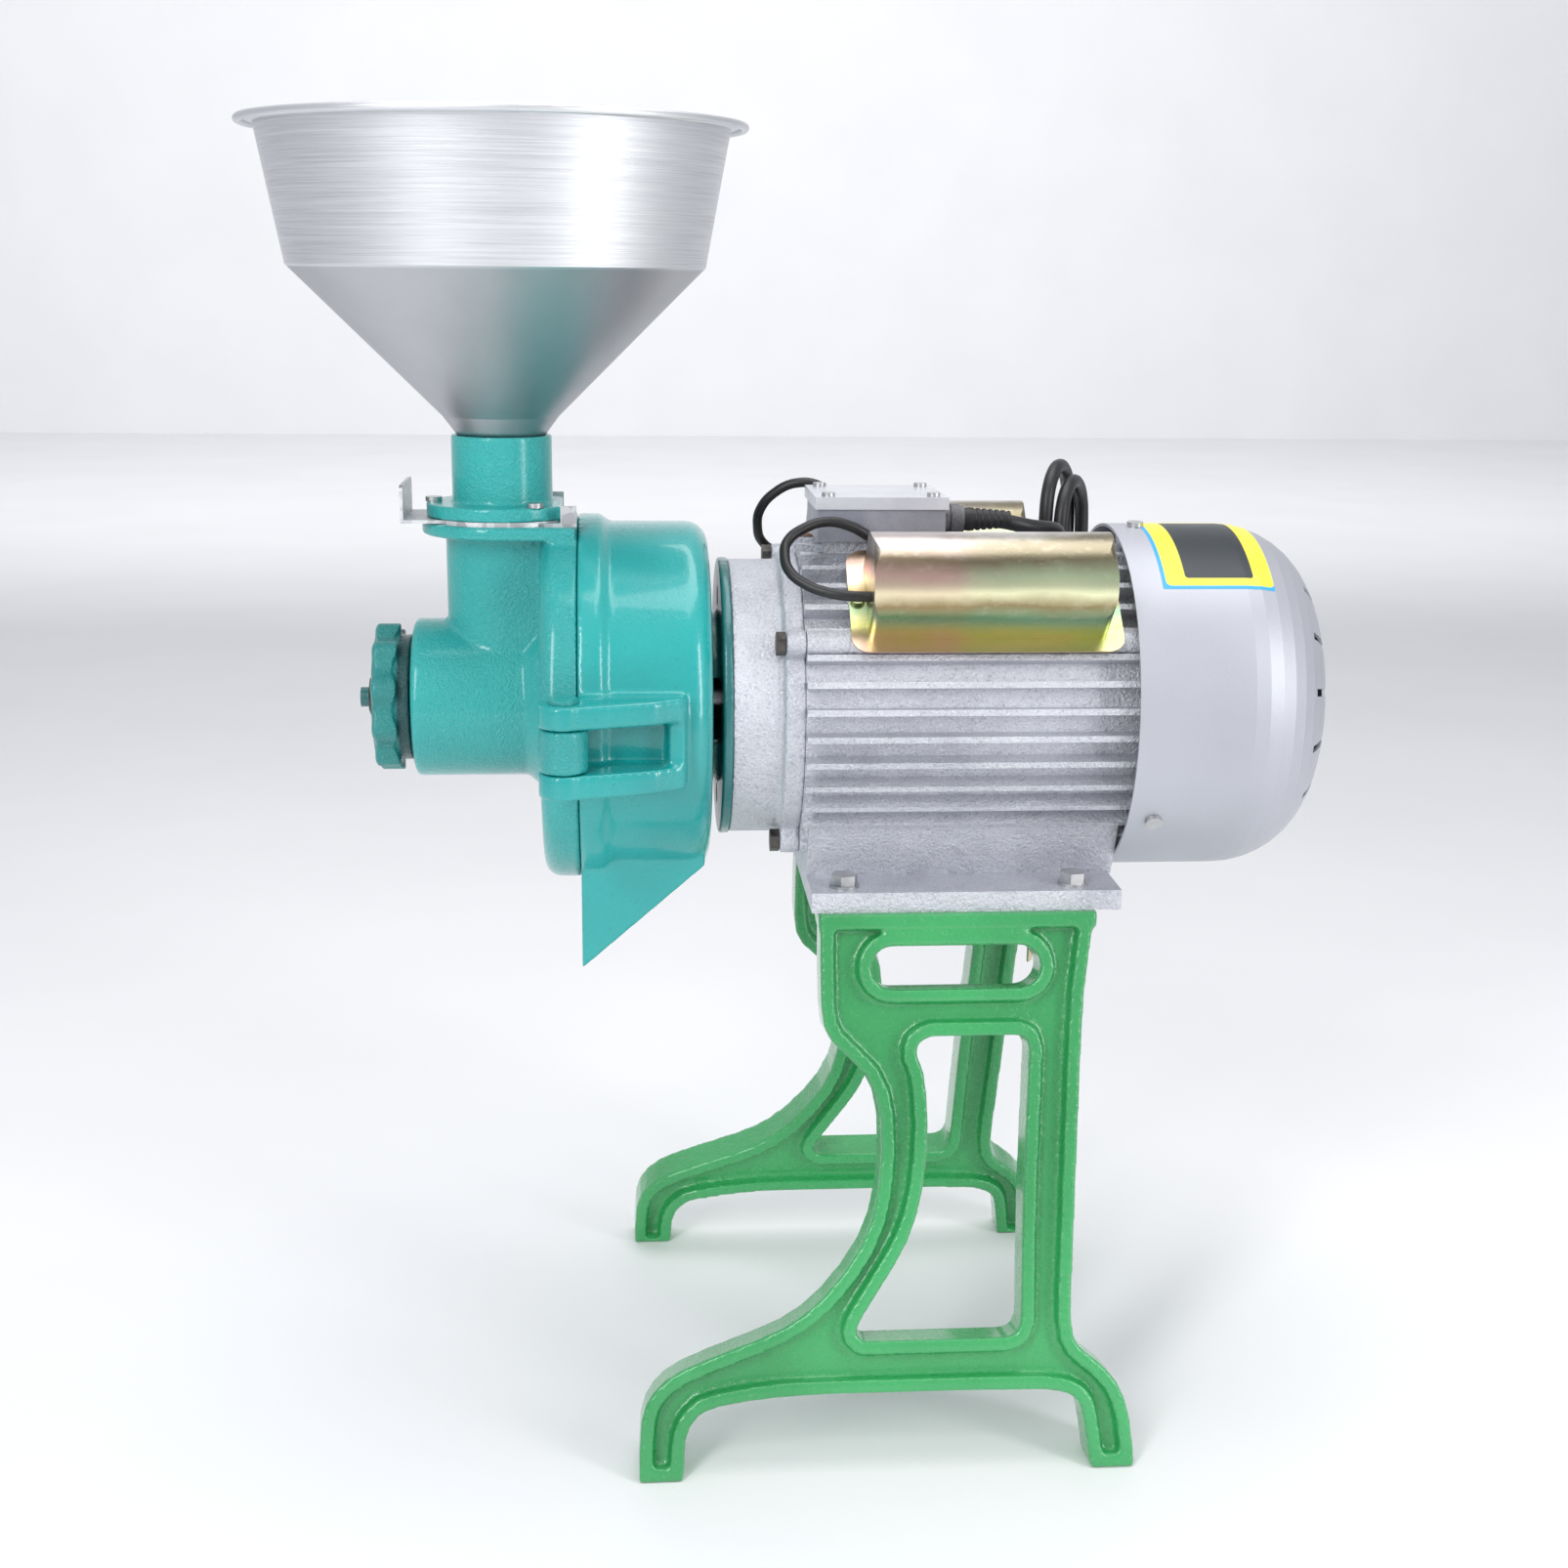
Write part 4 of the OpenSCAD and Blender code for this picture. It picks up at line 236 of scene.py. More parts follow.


# Motor frame and end shields. Sand cast aluminium, sprayed with a silver grey
# metallic paint that leaves the grain of the sand showing as dark specks and lumps.
silver, where = start_finish("silver_cast_paint", metal=0.55, coat=0.12, coat_rough=0.35)
sand = where.grain(620, detail=3, rough=0.62)
lumps = where.grain(120, detail=4, rough=0.6)
blotch = where.grain(16, detail=4, rough=0.6)
flake = where.flecks(1500)
tone = blotch.ramp((0.28, (0.47, 0.48, 0.53)), (0.52, (0.60, 0.61, 0.66)),
                   (0.75, (0.67, 0.68, 0.73)))
tone = tone.tint(flake.above(0.86, 0.97) * 0.5, (0.86, 0.87, 0.90))
tone = tone.tint((1 - sand).above(0.54, 0.66) * 0.34, (0.18, 0.18, 0.21))
tone = tone.tint((1 - lumps).above(0.54, 0.72) * 0.12, (0.26, 0.26, 0.30))
silver_cast = lay_on(silver, tone, 0.38 + sand * 0.22,
                     sand.dents(0.0012, strength=0.9, under=lumps.dents(0.0020, strength=0.5)))
give(silver_cast, "motor_frame", "rear_end_shield")
recast("front_end_shield", silver_cast, voxel=0.0012, relax=5)


# Tie bolts. Blackened steel, with hexagon heads in the ears of the front shield
# and nuts behind the rear one; the screws of adapter and drum are blackened too.
dark, where = start_finish("blackened_steel", metal=0.85)
oil = where.grain(160, detail=3, rough=0.6)
tone = oil.between((0.035, 0.034, 0.033), (0.13, 0.12, 0.11))
black_steel = lay_on(dark, tone, 0.34 + oil * 0.25, oil.dents(0.0003, strength=0.4))
give(black_steel, "shield_bolts", "adapter_screws", "drum_screws")


# Stator and rotor cores. Stacks of half millimetre steel sheet, pressed together
# and seen as fine rings along the shaft.
sheets, where = start_finish("stacked_sheet", metal=0.9)
ring_pitch = 0.0010
rings = (where.axis("X") * (2 * math.pi / ring_pitch)).maths("SINE")
stain = where.grain(45, detail=4, rough=0.6)
tone = stain.ramp((0.3, (0.13, 0.13, 0.14)), (0.6, (0.30, 0.30, 0.31)),
                  (0.8, (0.34, 0.28, 0.22)))
give(lay_on(sheets, tone, 0.40 + stain * 0.2, rings.dents(0.00012, strength=0.6)),
     "stator_core", "rotor_core")


# Windings. Enamelled copper wire, laid round the bore in bundles, tied and
# dipped in amber varnish.
copper, where = start_finish("varnished_copper", metal=0.7, coat=0.6, coat_rough=0.15)
strand = where.grain(90, detail=3, rough=0.5, stretch=(1, 14, 14))
tone = strand.ramp((0.3, (0.22, 0.075, 0.025)), (0.55, (0.50, 0.21, 0.08)),
                   (0.8, (0.66, 0.36, 0.16)))
give(lay_on(copper, tone, 0.25 + strand * 0.2, strand.dents(0.0006, strength=0.8)),
     "stator_winding")


# Shaft, key, collar and spring. Turned and ground steel with fine tool marks
# that run round it.
turned, where = start_finish("turned_steel", metal=1.0)
tool = where.grain(1, detail=3, rough=0.6, stretch=(2600, 12, 12))
smear = where.grain(40, detail=3, rough=0.5)
tone = smear.between((0.46, 0.46, 0.47), (0.64, 0.64, 0.65))
turned_steel = lay_on(turned, tone, 0.20 + tool * 0.20, tool.dents(0.00015, strength=0.4))
give(turned_steel, "motor_shaft", "shaft_key", "spring_collar", "thrust_spring")


# Bearings and thrust ball. Hardened steel, ground smooth: a bearing sits in each
# end shield, and the ball takes the push of the thrust screw on the grinding set.
ground, where = start_finish("ground_bearing_steel", metal=1.0)
swirl = where.grain(220, detail=3, rough=0.6)
tone = swirl.between((0.62, 0.62, 0.64), (0.76, 0.76, 0.77))
give(lay_on(ground, tone, 0.10 + swirl * 0.12, swirl.dents(0.00005, strength=0.2)),
     "bearings", "thrust_ball")


# Cooling fan. Moulded in black plastic with straight blades, and pressed on the
# shaft behind the rear shield.
moulded, where = start_finish("black_moulding", coat=0.05)
haze = where.grain(30, detail=4, rough=0.6)
pebble = where.grain(900, detail=2, rough=0.5)
tone = haze.between((0.006, 0.006, 0.007), (0.016, 0.016, 0.018))
black_moulding = lay_on(moulded, tone, 0.42 + haze * 0.18, pebble.dents(0.0002, strength=0.5))
give(black_moulding, "cooling_fan")


# Fan cover. Deep drawn sheet with a rounded back and punched vents, sprayed with
# a fine silver paint over the steel and held by three pan head screws.
drawn, where = start_finish("silver_sheet_paint", metal=0.72, coat=0.12, coat_rough=0.35)
cast_off = where.grain(6, detail=3, rough=0.5)
flake = where.grain(2300, detail=2, rough=0.6)
orange = where.grain(300, detail=2, rough=0.5)
rub = where.grain(22, detail=6, rough=0.75)
tone = cast_off.between((0.44, 0.45, 0.49), (0.54, 0.55, 0.60))
tone = tone.tint(flake.above(0.60, 0.80) * 0.35, (0.92, 0.93, 0.96))
tone = tone.tint(rub.above(0.66, 0.80) * 0.16, (0.36, 0.36, 0.38))
give(lay_on(drawn, tone, 0.42 + flake * 0.14 + rub * 0.06, orange.dents(0.0003, strength=0.18)),
     "fan_cover")


# Blank plate label on the fan cover: printed vinyl, yellow inside a blue edge, with
# an empty dark panel, stuck over the shoulder of the sheet.
shaft_z = 0.3965
label_from, label_to = 0.1920, 0.2553
label_low, label_high = math.radians(46.5), math.radians(97)
label_r, label_lift = 0.0960, 0.004
vinyl_thick, glue_thick = 0.00010, 0.00012
bpy.ops.object.select_all(action="DESELECT")
bpy.ops.mesh.primitive_grid_add(x_subdivisions=40, y_subdivisions=48, size=1,
                                location=(0, 0, 0))
label = bpy.context.object
label.name = "cover_label"
for point in label.data.vertices:
    a = label_low + (point.co.y + 0.5) * (label_high - label_low)
    x = label_from + (point.co.x + 0.5) * (label_to - label_from)
    r = label_r + label_lift
    point.co = (x, -r * math.cos(a), shaft_z + r * math.sin(a))
work(label, "stick", "SHRINKWRAP", target=frame["nodes"]["fan_cover"], offset=glue_thick,
     wrap_method="NEAREST_SURFACEPOINT", wrap_mode="ABOVE_SURFACE")
work(label, "film", "SOLIDIFY", thickness=vinyl_thick, offset=-1)
bpy.ops.object.shade_smooth_by_angle(angle=math.radians(40))

vinyl, where = start_finish("label_vinyl")
arc = (where.axis("Z") - shaft_z).maths("ARCTAN2", where.axis("Y") * -1) * label_r
from_middle = (where.axis("X") - (label_from + label_to) / 2).maths("ABSOLUTE")
up_from_middle = (arc - (label_low + label_high) / 2 * label_r).maths("ABSOLUTE")
half_x, half_arc = (label_to - label_from) / 2, (label_high - label_low) / 2 * label_r
border, border_corner = 0.0022, 0.003
panel_in_x, panel_in_arc, panel_corner = 0.013, 0.0075, 0.002
ink_edge = 0.0002


def outside(inset_x, inset_arc, corner):
    """1 beyond a rounded rectangle that is inset from the label's edges, 0 within it."""
    u = (from_middle - (half_x - inset_x - corner)).maths("MAXIMUM")
    v = (up_from_middle - (half_arc - inset_arc - corner)).maths("MAXIMUM")
    return ((u * u + v * v).maths("SQRT") - corner).above(-ink_edge, ink_edge)


fade = where.grain(60, detail=4, rough=0.6)
tone = fade.between((0.80, 0.70, 0.035), (0.90, 0.80, 0.08))
tone = tone.tint(outside(border, border, border_corner), (0.03, 0.36, 0.78))
tone = tone.tint(1 - outside(panel_in_x, panel_in_arc, panel_corner), (0.020, 0.026, 0.032))
label.data.materials.append(
    lay_on(vinyl, tone, 0.30 + fade * 0.15, fade.dents(0.0001, strength=0.3)))
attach(label, "base")


# Pan head screws. Plated steel with a crossed recess; the same kind holds the fan
# cover, the lid of the junction box and the flange of the feed tube.
give(bright_zinc, "fan_cover_screws", "lid_screws", "flange_screws")


# Junction box with its lid. A small cast box and a flat lid, sprayed grey like
# the frame; the lid's edge is left smoother by its die. The box's sides are
# painted darker than the lid, as painted shade.
boxed, where = start_finish("grey_box_paint_with_painted_shade", metal=0.45, coat=0.15, coat_rough=0.3)
flow = where.grain(40, detail=4, rough=0.6)
fine = where.grain(900, detail=2, rough=0.6)
# The box's darker grey is painted shade on its sides.
tone = flow.between((0.25, 0.26, 0.31), (0.36, 0.37, 0.43))
tone = tone.tint(fine.above(0.62, 0.78) * 0.3, (0.72, 0.73, 0.76))
give(lay_on(boxed, tone, 0.36 + fine * 0.18, fine.dents(0.0003, strength=0.4)), "junction_box")
lid, where = start_finish("pale_lid_paint", metal=0.35, coat=0.3, coat_rough=0.2)
flow = where.grain(30, detail=4, rough=0.6)
fine = where.grain(900, detail=2, rough=0.6)
tone = flow.between((0.52, 0.53, 0.57), (0.66, 0.67, 0.71))
give(lay_on(lid, tone, 0.28 + fine * 0.14, fine.dents(0.0003, strength=0.3)), "junction_box_lid")


# Cord gland and shaft seal. Grey nylon and rubber, moulded; the gland's nut
# squeezes a bush round the cord.
nylon, where = start_finish("grey_nylon")
speck = where.grain(500, detail=3, rough=0.6)
tone = speck.between((0.10, 0.10, 0.11), (0.17, 0.17, 0.18))
give(lay_on(nylon, tone, 0.45 + speck * 0.15, speck.dents(0.0002, strength=0.4)),
     "cord_gland", "shaft_seal")


# Capacitor covers. Pressed steel, zinc plated and passivated yellow, which leaves
# gold, green and rose bands that drift along each cover. The bands run by height,
# and their dark and bright stripes are painted reflections.
gold, where = start_finish("yellow_passivated_zinc_with_painted_reflections", metal=1.0)
drift = where.grain(26, detail=3, rough=0.5, stretch=(0.35, 1, 1))
edge = where.grain(60, detail=4, rough=0.6)
wipe = where.grain(5, detail=4, rough=0.6, stretch=(30, 60, 60))
cover_low, cover_tall = 0.440, 0.058
band_drift, band_fray = 0.34, 0.08
warm_until, warm_fall = 0.09, -6
height = (where.axis("Z") - cover_low) * (1 / cover_tall)
film = height + (drift - 0.5) * band_drift + (edge - 0.5) * band_fray
# Dark and bright stripes by height are painted reflections; their gold, green and rose hues are the
# passivation's own.
cool = film.ramp((0.00, (0.78, 0.62, 0.36)), (0.10, (0.56, 0.62, 0.24)), (0.26, (0.26, 0.44, 0.27)),
                 (0.38, (0.30, 0.24, 0.12)), (0.50, (0.88, 0.88, 0.56)), (0.64, (0.54, 0.64, 0.40)),
                 (0.80, (0.22, 0.19, 0.12)), (0.94, (0.34, 0.30, 0.22)), (1.00, (0.76, 0.73, 0.68)))
warm = film.ramp((0.00, (0.80, 0.55, 0.45)), (0.12, (0.58, 0.56, 0.22)), (0.26, (0.30, 0.40, 0.24)),
                 (0.38, (0.32, 0.24, 0.12)), (0.50, (0.84, 0.74, 0.50)), (0.64, (0.66, 0.44, 0.38)),
                 (0.80, (0.26, 0.20, 0.13)), (1.00, (0.72, 0.64, 0.62)))
wander = where.grain(16, detail=2, rough=0.5, stretch=(1, 0.3, 0.3))
warm_end = wander + (where.axis("X") - warm_until) * warm_fall
tone = cool.tint(warm_end.above(0.40, 0.66), warm)
tone = tone.tint(wipe.above(0.50, 0.72) * 0.15, (0.78, 0.76, 0.62))
give(lay_on(gold, tone, 0.22 + edge * 0.14, wipe.dents(0.0002, strength=0.25)),
     "capacitor_cover_near", "capacitor_cover_far", "capacitor_screws")


# Capacitor cans. Drawn from aluminium, one to start the motor and one to run it,
# and hidden in their covers.
can, where = start_finish("drawn_can", metal=1.0)
haze = where.grain(60, detail=4, rough=0.6, stretch=(0.2, 1, 1))
tone = haze.between((0.60, 0.61, 0.62), (0.74, 0.75, 0.76))
give(lay_on(can, tone, 0.30 + haze * 0.2, haze.dents(0.0002, strength=0.2)), "capacitors")


# Capacitor leads. Black sheathed wire, 5.6 mm thick, which leaves the side of the
# junction box, loops ahead of its cover and goes in by a hole in the cover's end.
sheath, where = start_finish("black_sheath", coat=0.06, coat_rough=0.4)
bloom = where.grain(24, detail=4, rough=0.6)
skin_grain = where.grain(700, detail=2, rough=0.6)
tone = bloom.between((0.004, 0.004, 0.005), (0.012, 0.012, 0.014))
black_sheath = lay_on(sheath, tone, 0.34 + bloom * 0.16, skin_grain.dents(0.00018, strength=0.4))


def laid_cord(name, points, thick):
    """A smooth curve through points, drawn round to its thickness."""
    line = bpy.data.curves.new(name, "CURVE")
    line.dimensions = "3D"
    line.bevel_depth = thick / 2
    line.bevel_resolution = 5
    line.resolution_u = 5
    line.use_fill_caps = True
    run = line.splines.new("BEZIER")
    run.bezier_points.add(len(points) - 1)
    for knot, point in zip(run.bezier_points, points):
        knot.co = point
        knot.handle_left_type = knot.handle_right_type = "AUTO"
    piece = bpy.data.objects.new(name, line)
    bpy.context.scene.collection.objects.link(piece)
    line.materials.append(black_sheath)
    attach(piece, "base")
    return piece


def bowed(start, end, bow):
    """A lead's route: departures, in millimetres, from the line between its ends."""
    start, end, last = Vector(start), Vector(end), len(bow) - 1
    return [start + (end - start) * (i / last) + Vector(step) / 1000 for i, step in enumerate(bow)]


lead_thick = 0.0056
lead_end_y, lead_end_z = 0.08224, 0.46459
near_lead = bowed((0.04175, -0.0323, 0.487), (0.04075, -lead_end_y, lead_end_z), [
    (0, 0, 0), (0.1, -1.9, 1.7), (-4.8, -2, 7.4), (-14.8, -0.2, 14.7), (-27.7, 1.7, 18.9),
    (-39.6, 1.5, 17.6), (-48.5, 0.3, 13.3), (-50.5, -2.8, 8.1), (-48.4, -6, 2.8),
    (-40.3, -8.2, -1.5), (-29.2, -9.3, -3.3), (-18.2, -7.7, -3), (-8.1, -3.8, -1.7), (0, 0, 0)])
far_lead = bowed((0.03475, 0.0326, 0.488), (0.02275, lead_end_y, lead_end_z), [
    (0, 0, 0), (1, 2.3, 1.9), (-3, 3.1, 13.9), (-12, 3, 25.9), (-24, 0.9, 29.8), (-36, -0.3, 25.8),
    (-43, -0.4, 17.7), (-43, 2.5, 8.6), (-39, 6.3, 1.6), (-30, 8.2, -3), (-19, 8.1, -3.5),
    (-9, 4.1, -1.9), (0, 0, 0)])
for side, points in (("near", near_lead), ("far", far_lead)):
    lead = laid_cord(f"lead_{side}", points, lead_thick)
    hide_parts(f"capacitor_lead_{side}")


# Mains cord. Black rubber sheathed, 8.6 mm thick: out of the gland, over the far
# shoulder of the frame and down its side, then folded in a hank that hangs there
# with a moulded tie round its waist.
cord_thick = 0.0086
frame_end = 0.17975
fin_r = 0.088
gland_mouth = Vector((0.09425, 0, 0.49525))
# Millimetres from the mouth of the gland.
cord_out = [(0, 0, 0), (10.5, 0, 0), (21.5, 0.3, -1), (31.5, 1.5, -3), (40.5, 5, -5),
            (48.5, 11, -6.3), (55, 19, -7.9)]
# Millimetres back from the frame's end, millimetres out from its fins, degrees up.
cord_over = [(26, 5.2, 71.7), (24, 7.3, 64.4), (23.5, 7.3, 55.9), (23.5, 5.2, 47.1),
             (23.6, 4.7, 38), (24.4, 5, 28.1), (25.6, 6.6, 16.9), (27.2, 10.7, 6.7),
             (27.3, 14.7, -1.9), (26.3, 17.8, -10.1)]
hank_lean = math.radians(26.1)
hank_back, hank_off = 0.0181, 0.0122
hank_near = Vector((frame_end - hank_back, fin_r + hank_off))
hank_across = Vector((math.sin(hank_lean), math.cos(hank_lean)))
hank_through = Vector((math.cos(hank_lean), -math.sin(hank_lean)))
fold_r, pitch = 0.027, 0.0091
# How far the tie draws the outer run in, and how soon the run is free of it again.
draw, draw_reach = 0.026, 1.2
hank_tops, hank_low = (shaft_z + 0.0899, shaft_z + 0.0809), shaft_z - 0.0821
bends, straights = 6, 8
run_in, free_end = (0.0426, 0.0216, 0.005), (0, 0.022, 0.045)


def hank_place(across, layer, height):
    """A point of the hank, which leans with the frame's flank."""
    flat = hank_near + hank_across * across + hank_through * layer
    return Vector((flat.x, flat.y, height))


def soft_step(t):
    """From 0 to 1 as t does, but slow at both ends."""
    return t * t * (3 - 2 * t)


def hank_loop(k, top):
    """One turn: under the low fold, up past the tie, over the top fold and down."""
    rise = top - hank_low
    half_turn = [math.radians(180 * j / bends) for j in range(bends + 1)]
    low = [hank_place(fold_r * (1 - math.cos(a)), pitch * (k - 1 + soft_step(j / bends)),
                      hank_low - fold_r * math.sin(a)) for j, a in enumerate(half_turn)]
    up = []
    for j in range(1, straights):
        drawn_in = draw * math.sin(math.pi * min(draw_reach * j / straights, 1)) ** 2
        up.append(hank_place(2 * fold_r - drawn_in, pitch * k, hank_low + rise * j / straights))
    high = [hank_place(fold_r * (1 + math.cos(a)), pitch * k, top + fold_r * math.sin(a))
            for a in half_turn]
    down = [hank_place(0, pitch * k, top - rise * j / straights) for j in range(1, straights)]
    return low + up + high + down


cord_points = [gland_mouth + Vector(step) / 1000 for step in cord_out]
for back, out, rise in cord_over:
    r, a = fin_r + out / 1000, math.radians(rise)
    cord_points.append(
        Vector((frame_end - back / 1000, r * math.cos(a), shaft_z + r * math.sin(a))))
cord_points += [hank_place(0, -pitch, hank_low + above) for above in run_in]
cord_points += hank_loop(0, hank_tops[0]) + hank_loop(1, hank_tops[1])
cord_points += [hank_place(0, pitch, hank_low - below) for below in free_end]
mains = laid_cord("mains_cord", cord_points, cord_thick)
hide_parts("power_cord", "cord_hank")
give(black_moulding, "hank_tie")


# Strain relief at the gland: a tapered sleeve of soft black rubber with slits,
# pushed over the cord.
def drawn_out(name, start, way, steps):
    """A round piece: a disc at start, drawn out along way, with a radius at each step."""
    way = Vector(way).normalized()
    start = Vector(start)
    gone, radius = steps[0]
    bpy.ops.object.select_all(action="DESELECT")
    bpy.ops.mesh.primitive_circle_add(vertices=32, radius=radius, fill_type="NGON",
                                      location=start,
                                      rotation=way.to_track_quat("Z", "X").to_euler())
    piece = bpy.context.object
    piece.name = name
    bpy.ops.object.transform_apply(location=True, rotation=True, scale=True)
    bpy.ops.object.mode_set(mode="EDIT")
    bpy.ops.mesh.select_all(action="SELECT")
    for far, wide in steps[1:]:
        bpy.ops.mesh.extrude_region_move(TRANSFORM_OT_translate={"value": way * (far - gone)})
        grow = wide / radius
        bpy.ops.transform.resize(value=(grow, grow, grow), center_override=start + way * far)
        gone, radius = far, wide
    bpy.ops.mesh.select_all(action="SELECT")
    bpy.ops.mesh.normals_make_consistent(inside=False)
    bpy.ops.object.mode_set(mode="OBJECT")
    bpy.ops.object.shade_smooth_by_angle(angle=math.radians(40))
    return piece


def ribbed(count, start, pitch, radius, swell, rib):
    """Steps for a row of ribs, each wider than the last by swell."""
    return [(start + i * pitch + along, radius + i * swell + out)
            for i in range(count) for along, out in rib]


# Each step is a distance along the sleeve and its radius there.
sleeve_steps = [(-0.002, 0.0062), (0.001, 0.0066)]
sleeve_steps += ribbed(6, start=0.002, pitch=0.0036, radius=0.0065, swell=-0.00028,
                       rib=[(0, 0), (0.0018, -0.0001), (0.0021, -0.0009), (0.0030, -0.0009)])
sleeve_steps += [(0.0245, 0.0048), (0.0250, 0.0044)]
relief = drawn_out("cord_relief", gland_mouth, (1, 0, 0), sleeve_steps)
relief.data.materials.append(black_moulding)
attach(relief, "base")


# Mains plug. One black moulding with a ribbed neck and three flat brass pins; it
# hangs from the free end of the hank.
def pick_faces(piece, wanted):
    """In edit mode, selects the faces that a rule names, and nothing else."""
    bpy.ops.mesh.select_all(action="DESELECT")
    bpy.ops.object.mode_set(mode="OBJECT")
    for face in piece.data.polygons:
        face.select = bool(wanted(face))
    bpy.ops.object.mode_set(mode="EDIT")


plug_top = cord_points[-1]
down = Vector((0, 0, -1))
plug_size, taper = (0.024, 0.034, 0.034), (0.72, 0.62, 1)
shoulder, plug_middle, pin_middle = 0.016, 0.033, 0.0587
grip_margin, grip_depth, edge_round = 0.0035, 0.0012, 0.0032
bpy.ops.object.select_all(action="DESELECT")
bpy.ops.mesh.primitive_cube_add(size=1, location=plug_top + down * plug_middle,
                                scale=plug_size)
plug = bpy.context.object
plug.name = "mains_plug"
bpy.ops.object.transform_apply(location=True, rotation=True, scale=True)
bpy.ops.object.mode_set(mode="EDIT")
bpy.ops.mesh.select_mode(type="FACE")
pick_faces(plug, lambda face: face.normal.z > 0.9)
bpy.ops.transform.resize(value=taper, center_override=plug_top + down * shoulder)
pick_faces(plug, lambda face: abs(face.normal.x) > 0.9)
bpy.ops.mesh.inset(thickness=grip_margin, depth=-grip_depth)
bpy.ops.object.mode_set(mode="OBJECT")
work(plug, "soft_edges", "BEVEL", width=edge_round, segments=4, limit_method="ANGLE")
bpy.ops.object.shade_smooth_by_angle(angle=math.radians(50))
plug.data.materials.append(black_moulding)

neck_steps = [(-0.001, 0.0046)]
neck_steps += ribbed(5, start=0.0002, pitch=0.0033, radius=0.0052, swell=0.0003,
                     rib=[(0, 0), (0.0020, 0.0001), (0.0022, -0.0005), (0.0031, -0.0005)])
neck_steps += [(0.0185, 0.0068)]
neck = drawn_out("plug_neck", plug_top, down, neck_steps)
neck.data.materials.append(black_moulding)

brass, where = start_finish("pin_brass", metal=1.0)
rub = where.grain(300, detail=3, rough=0.6)
tone = rub.between((0.60, 0.50, 0.30), (0.74, 0.66, 0.44))
pin_brass = lay_on(brass, tone, 0.25 + rub * 0.15, rub.dents(0.0001, strength=0.2))
pin_size = (0.0018, 0.0064, 0.0182)
pins = []
# The earth pin stands alone and straight, and the other two lean apart.
for x, y, turn in ((0, -0.008, 0), (-0.0064, 0.008, -30), (0.0064, 0.008, 30)):
    bpy.ops.object.select_all(action="DESELECT")
    bpy.ops.mesh.primitive_cube_add(size=1, location=plug_top + Vector((x, y, -pin_middle)),
                                    rotation=(0, 0, math.radians(turn)), scale=pin_size)
    pin = bpy.context.object
    bpy.ops.object.transform_apply(location=True, rotation=True, scale=True)
    work(pin, "pointed", "BEVEL", width=0.0006, segments=2)
    pin.data.materials.append(pin_brass)
    pins.append(pin)
bpy.ops.object.select_all(action="DESELECT")
for pin in pins:
    pin.select_set(True)
bpy.context.view_layer.objects.active = pins[0]
bpy.ops.object.join()
pins[0].name = "plug_pins"

for part in (plug, neck, pins[0]):
    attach(part, "base")
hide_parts("power_plug")


# Adapter between drum and motor. A cast disc with a short windowed neck, in the
# mill's teal, painted darker as painted shade where it sits between drum and motor.
deep, where = start_finish("dark_teal_enamel_and_painted_shade", coat=0.6, coat_rough=0.15)
pool = where.grain(14, detail=3, rough=0.5)
peel = where.grain(420, detail=3, rough=0.6)
# The teal is painted darker, as painted shade on the adapter between drum and motor.
tone = pool.between((0.006, 0.105, 0.110), (0.012, 0.185, 0.185))
dark_teal_and_painted_shade = lay_on(deep, tone, 0.26 + peel * 0.16, peel.dents(0.0006, strength=0.5))
recast("adapter_neck", dark_teal_and_painted_shade, voxel=0.0011, relax=4)


# Grinding drum, front cover and feed tube. Grey iron castings under a glossy
# turquoise enamel: smooth on the drum, pebbled on cover and tube, with painted
# sparkle as light specks, faint on the drum and strong on cover and tube.
def turquoise_coat(name, pebble):
    """The enamel, from 0 for smooth to 1 for fully pebbled."""
    teal, where = start_finish(name, coat=0.7, coat_rough=0.10 + pebble * 0.08)
    pool = where.grain(8, detail=3, rough=0.5)
    peel = where.grain(330, detail=3, rough=0.55)
    sand_grain_and_painted_sparkle = where.grain(820, detail=2, rough=0.6)
    pits = where.cells(120)
    mist = where.grain(55, detail=5, rough=0.7)
    tone = pool.ramp((0.30, (0.005, 0.255, 0.252)), (0.52, (0.008, 0.350, 0.338)),
                     (0.72, (0.013, 0.430, 0.405)))
    tone = tone.tint(mist.above(0.60, 0.78) * 0.12, (0.04, 0.50, 0.47))
    # Light specks are painted sparkle, stronger the more pebbled the enamel; the same grain also
    # gives the dents.
    tone = tone.tint(sand_grain_and_painted_sparkle.above(0.62, 0.70) * (0.05 + pebble * 0.25), (0.24, 0.70, 0.66))
    tone = tone.tint((1 - pits).above(0.86, 0.99) * 0.35, (0.004, 0.13, 0.13))
    orange_peel = peel.dents(0.0006 + pebble * 0.0006, 0.35 + pebble * 0.25)
    return lay_on(teal, tone, 0.22 + peel * (0.08 + pebble * 0.10) + mist * 0.05,
                  sand_grain_and_painted_sparkle.dents(0.0004 + pebble * 0.0012, 0.30 + pebble * 0.45, orange_peel))


smooth_turquoise = turquoise_coat("smooth_turquoise_enamel", 0.0)
pebbled_turquoise = turquoise_coat("pebbled_turquoise_enamel", 1.0)
recast("drum_body", smooth_turquoise, voxel=0.0015, relax=4)
recast("front_cover", pebbled_turquoise, voxel=0.0013, relax=4)
recast("feed_tube", pebbled_turquoise, voxel=0.0009, relax=4)
give(pebbled_turquoise, "hinge_pin")


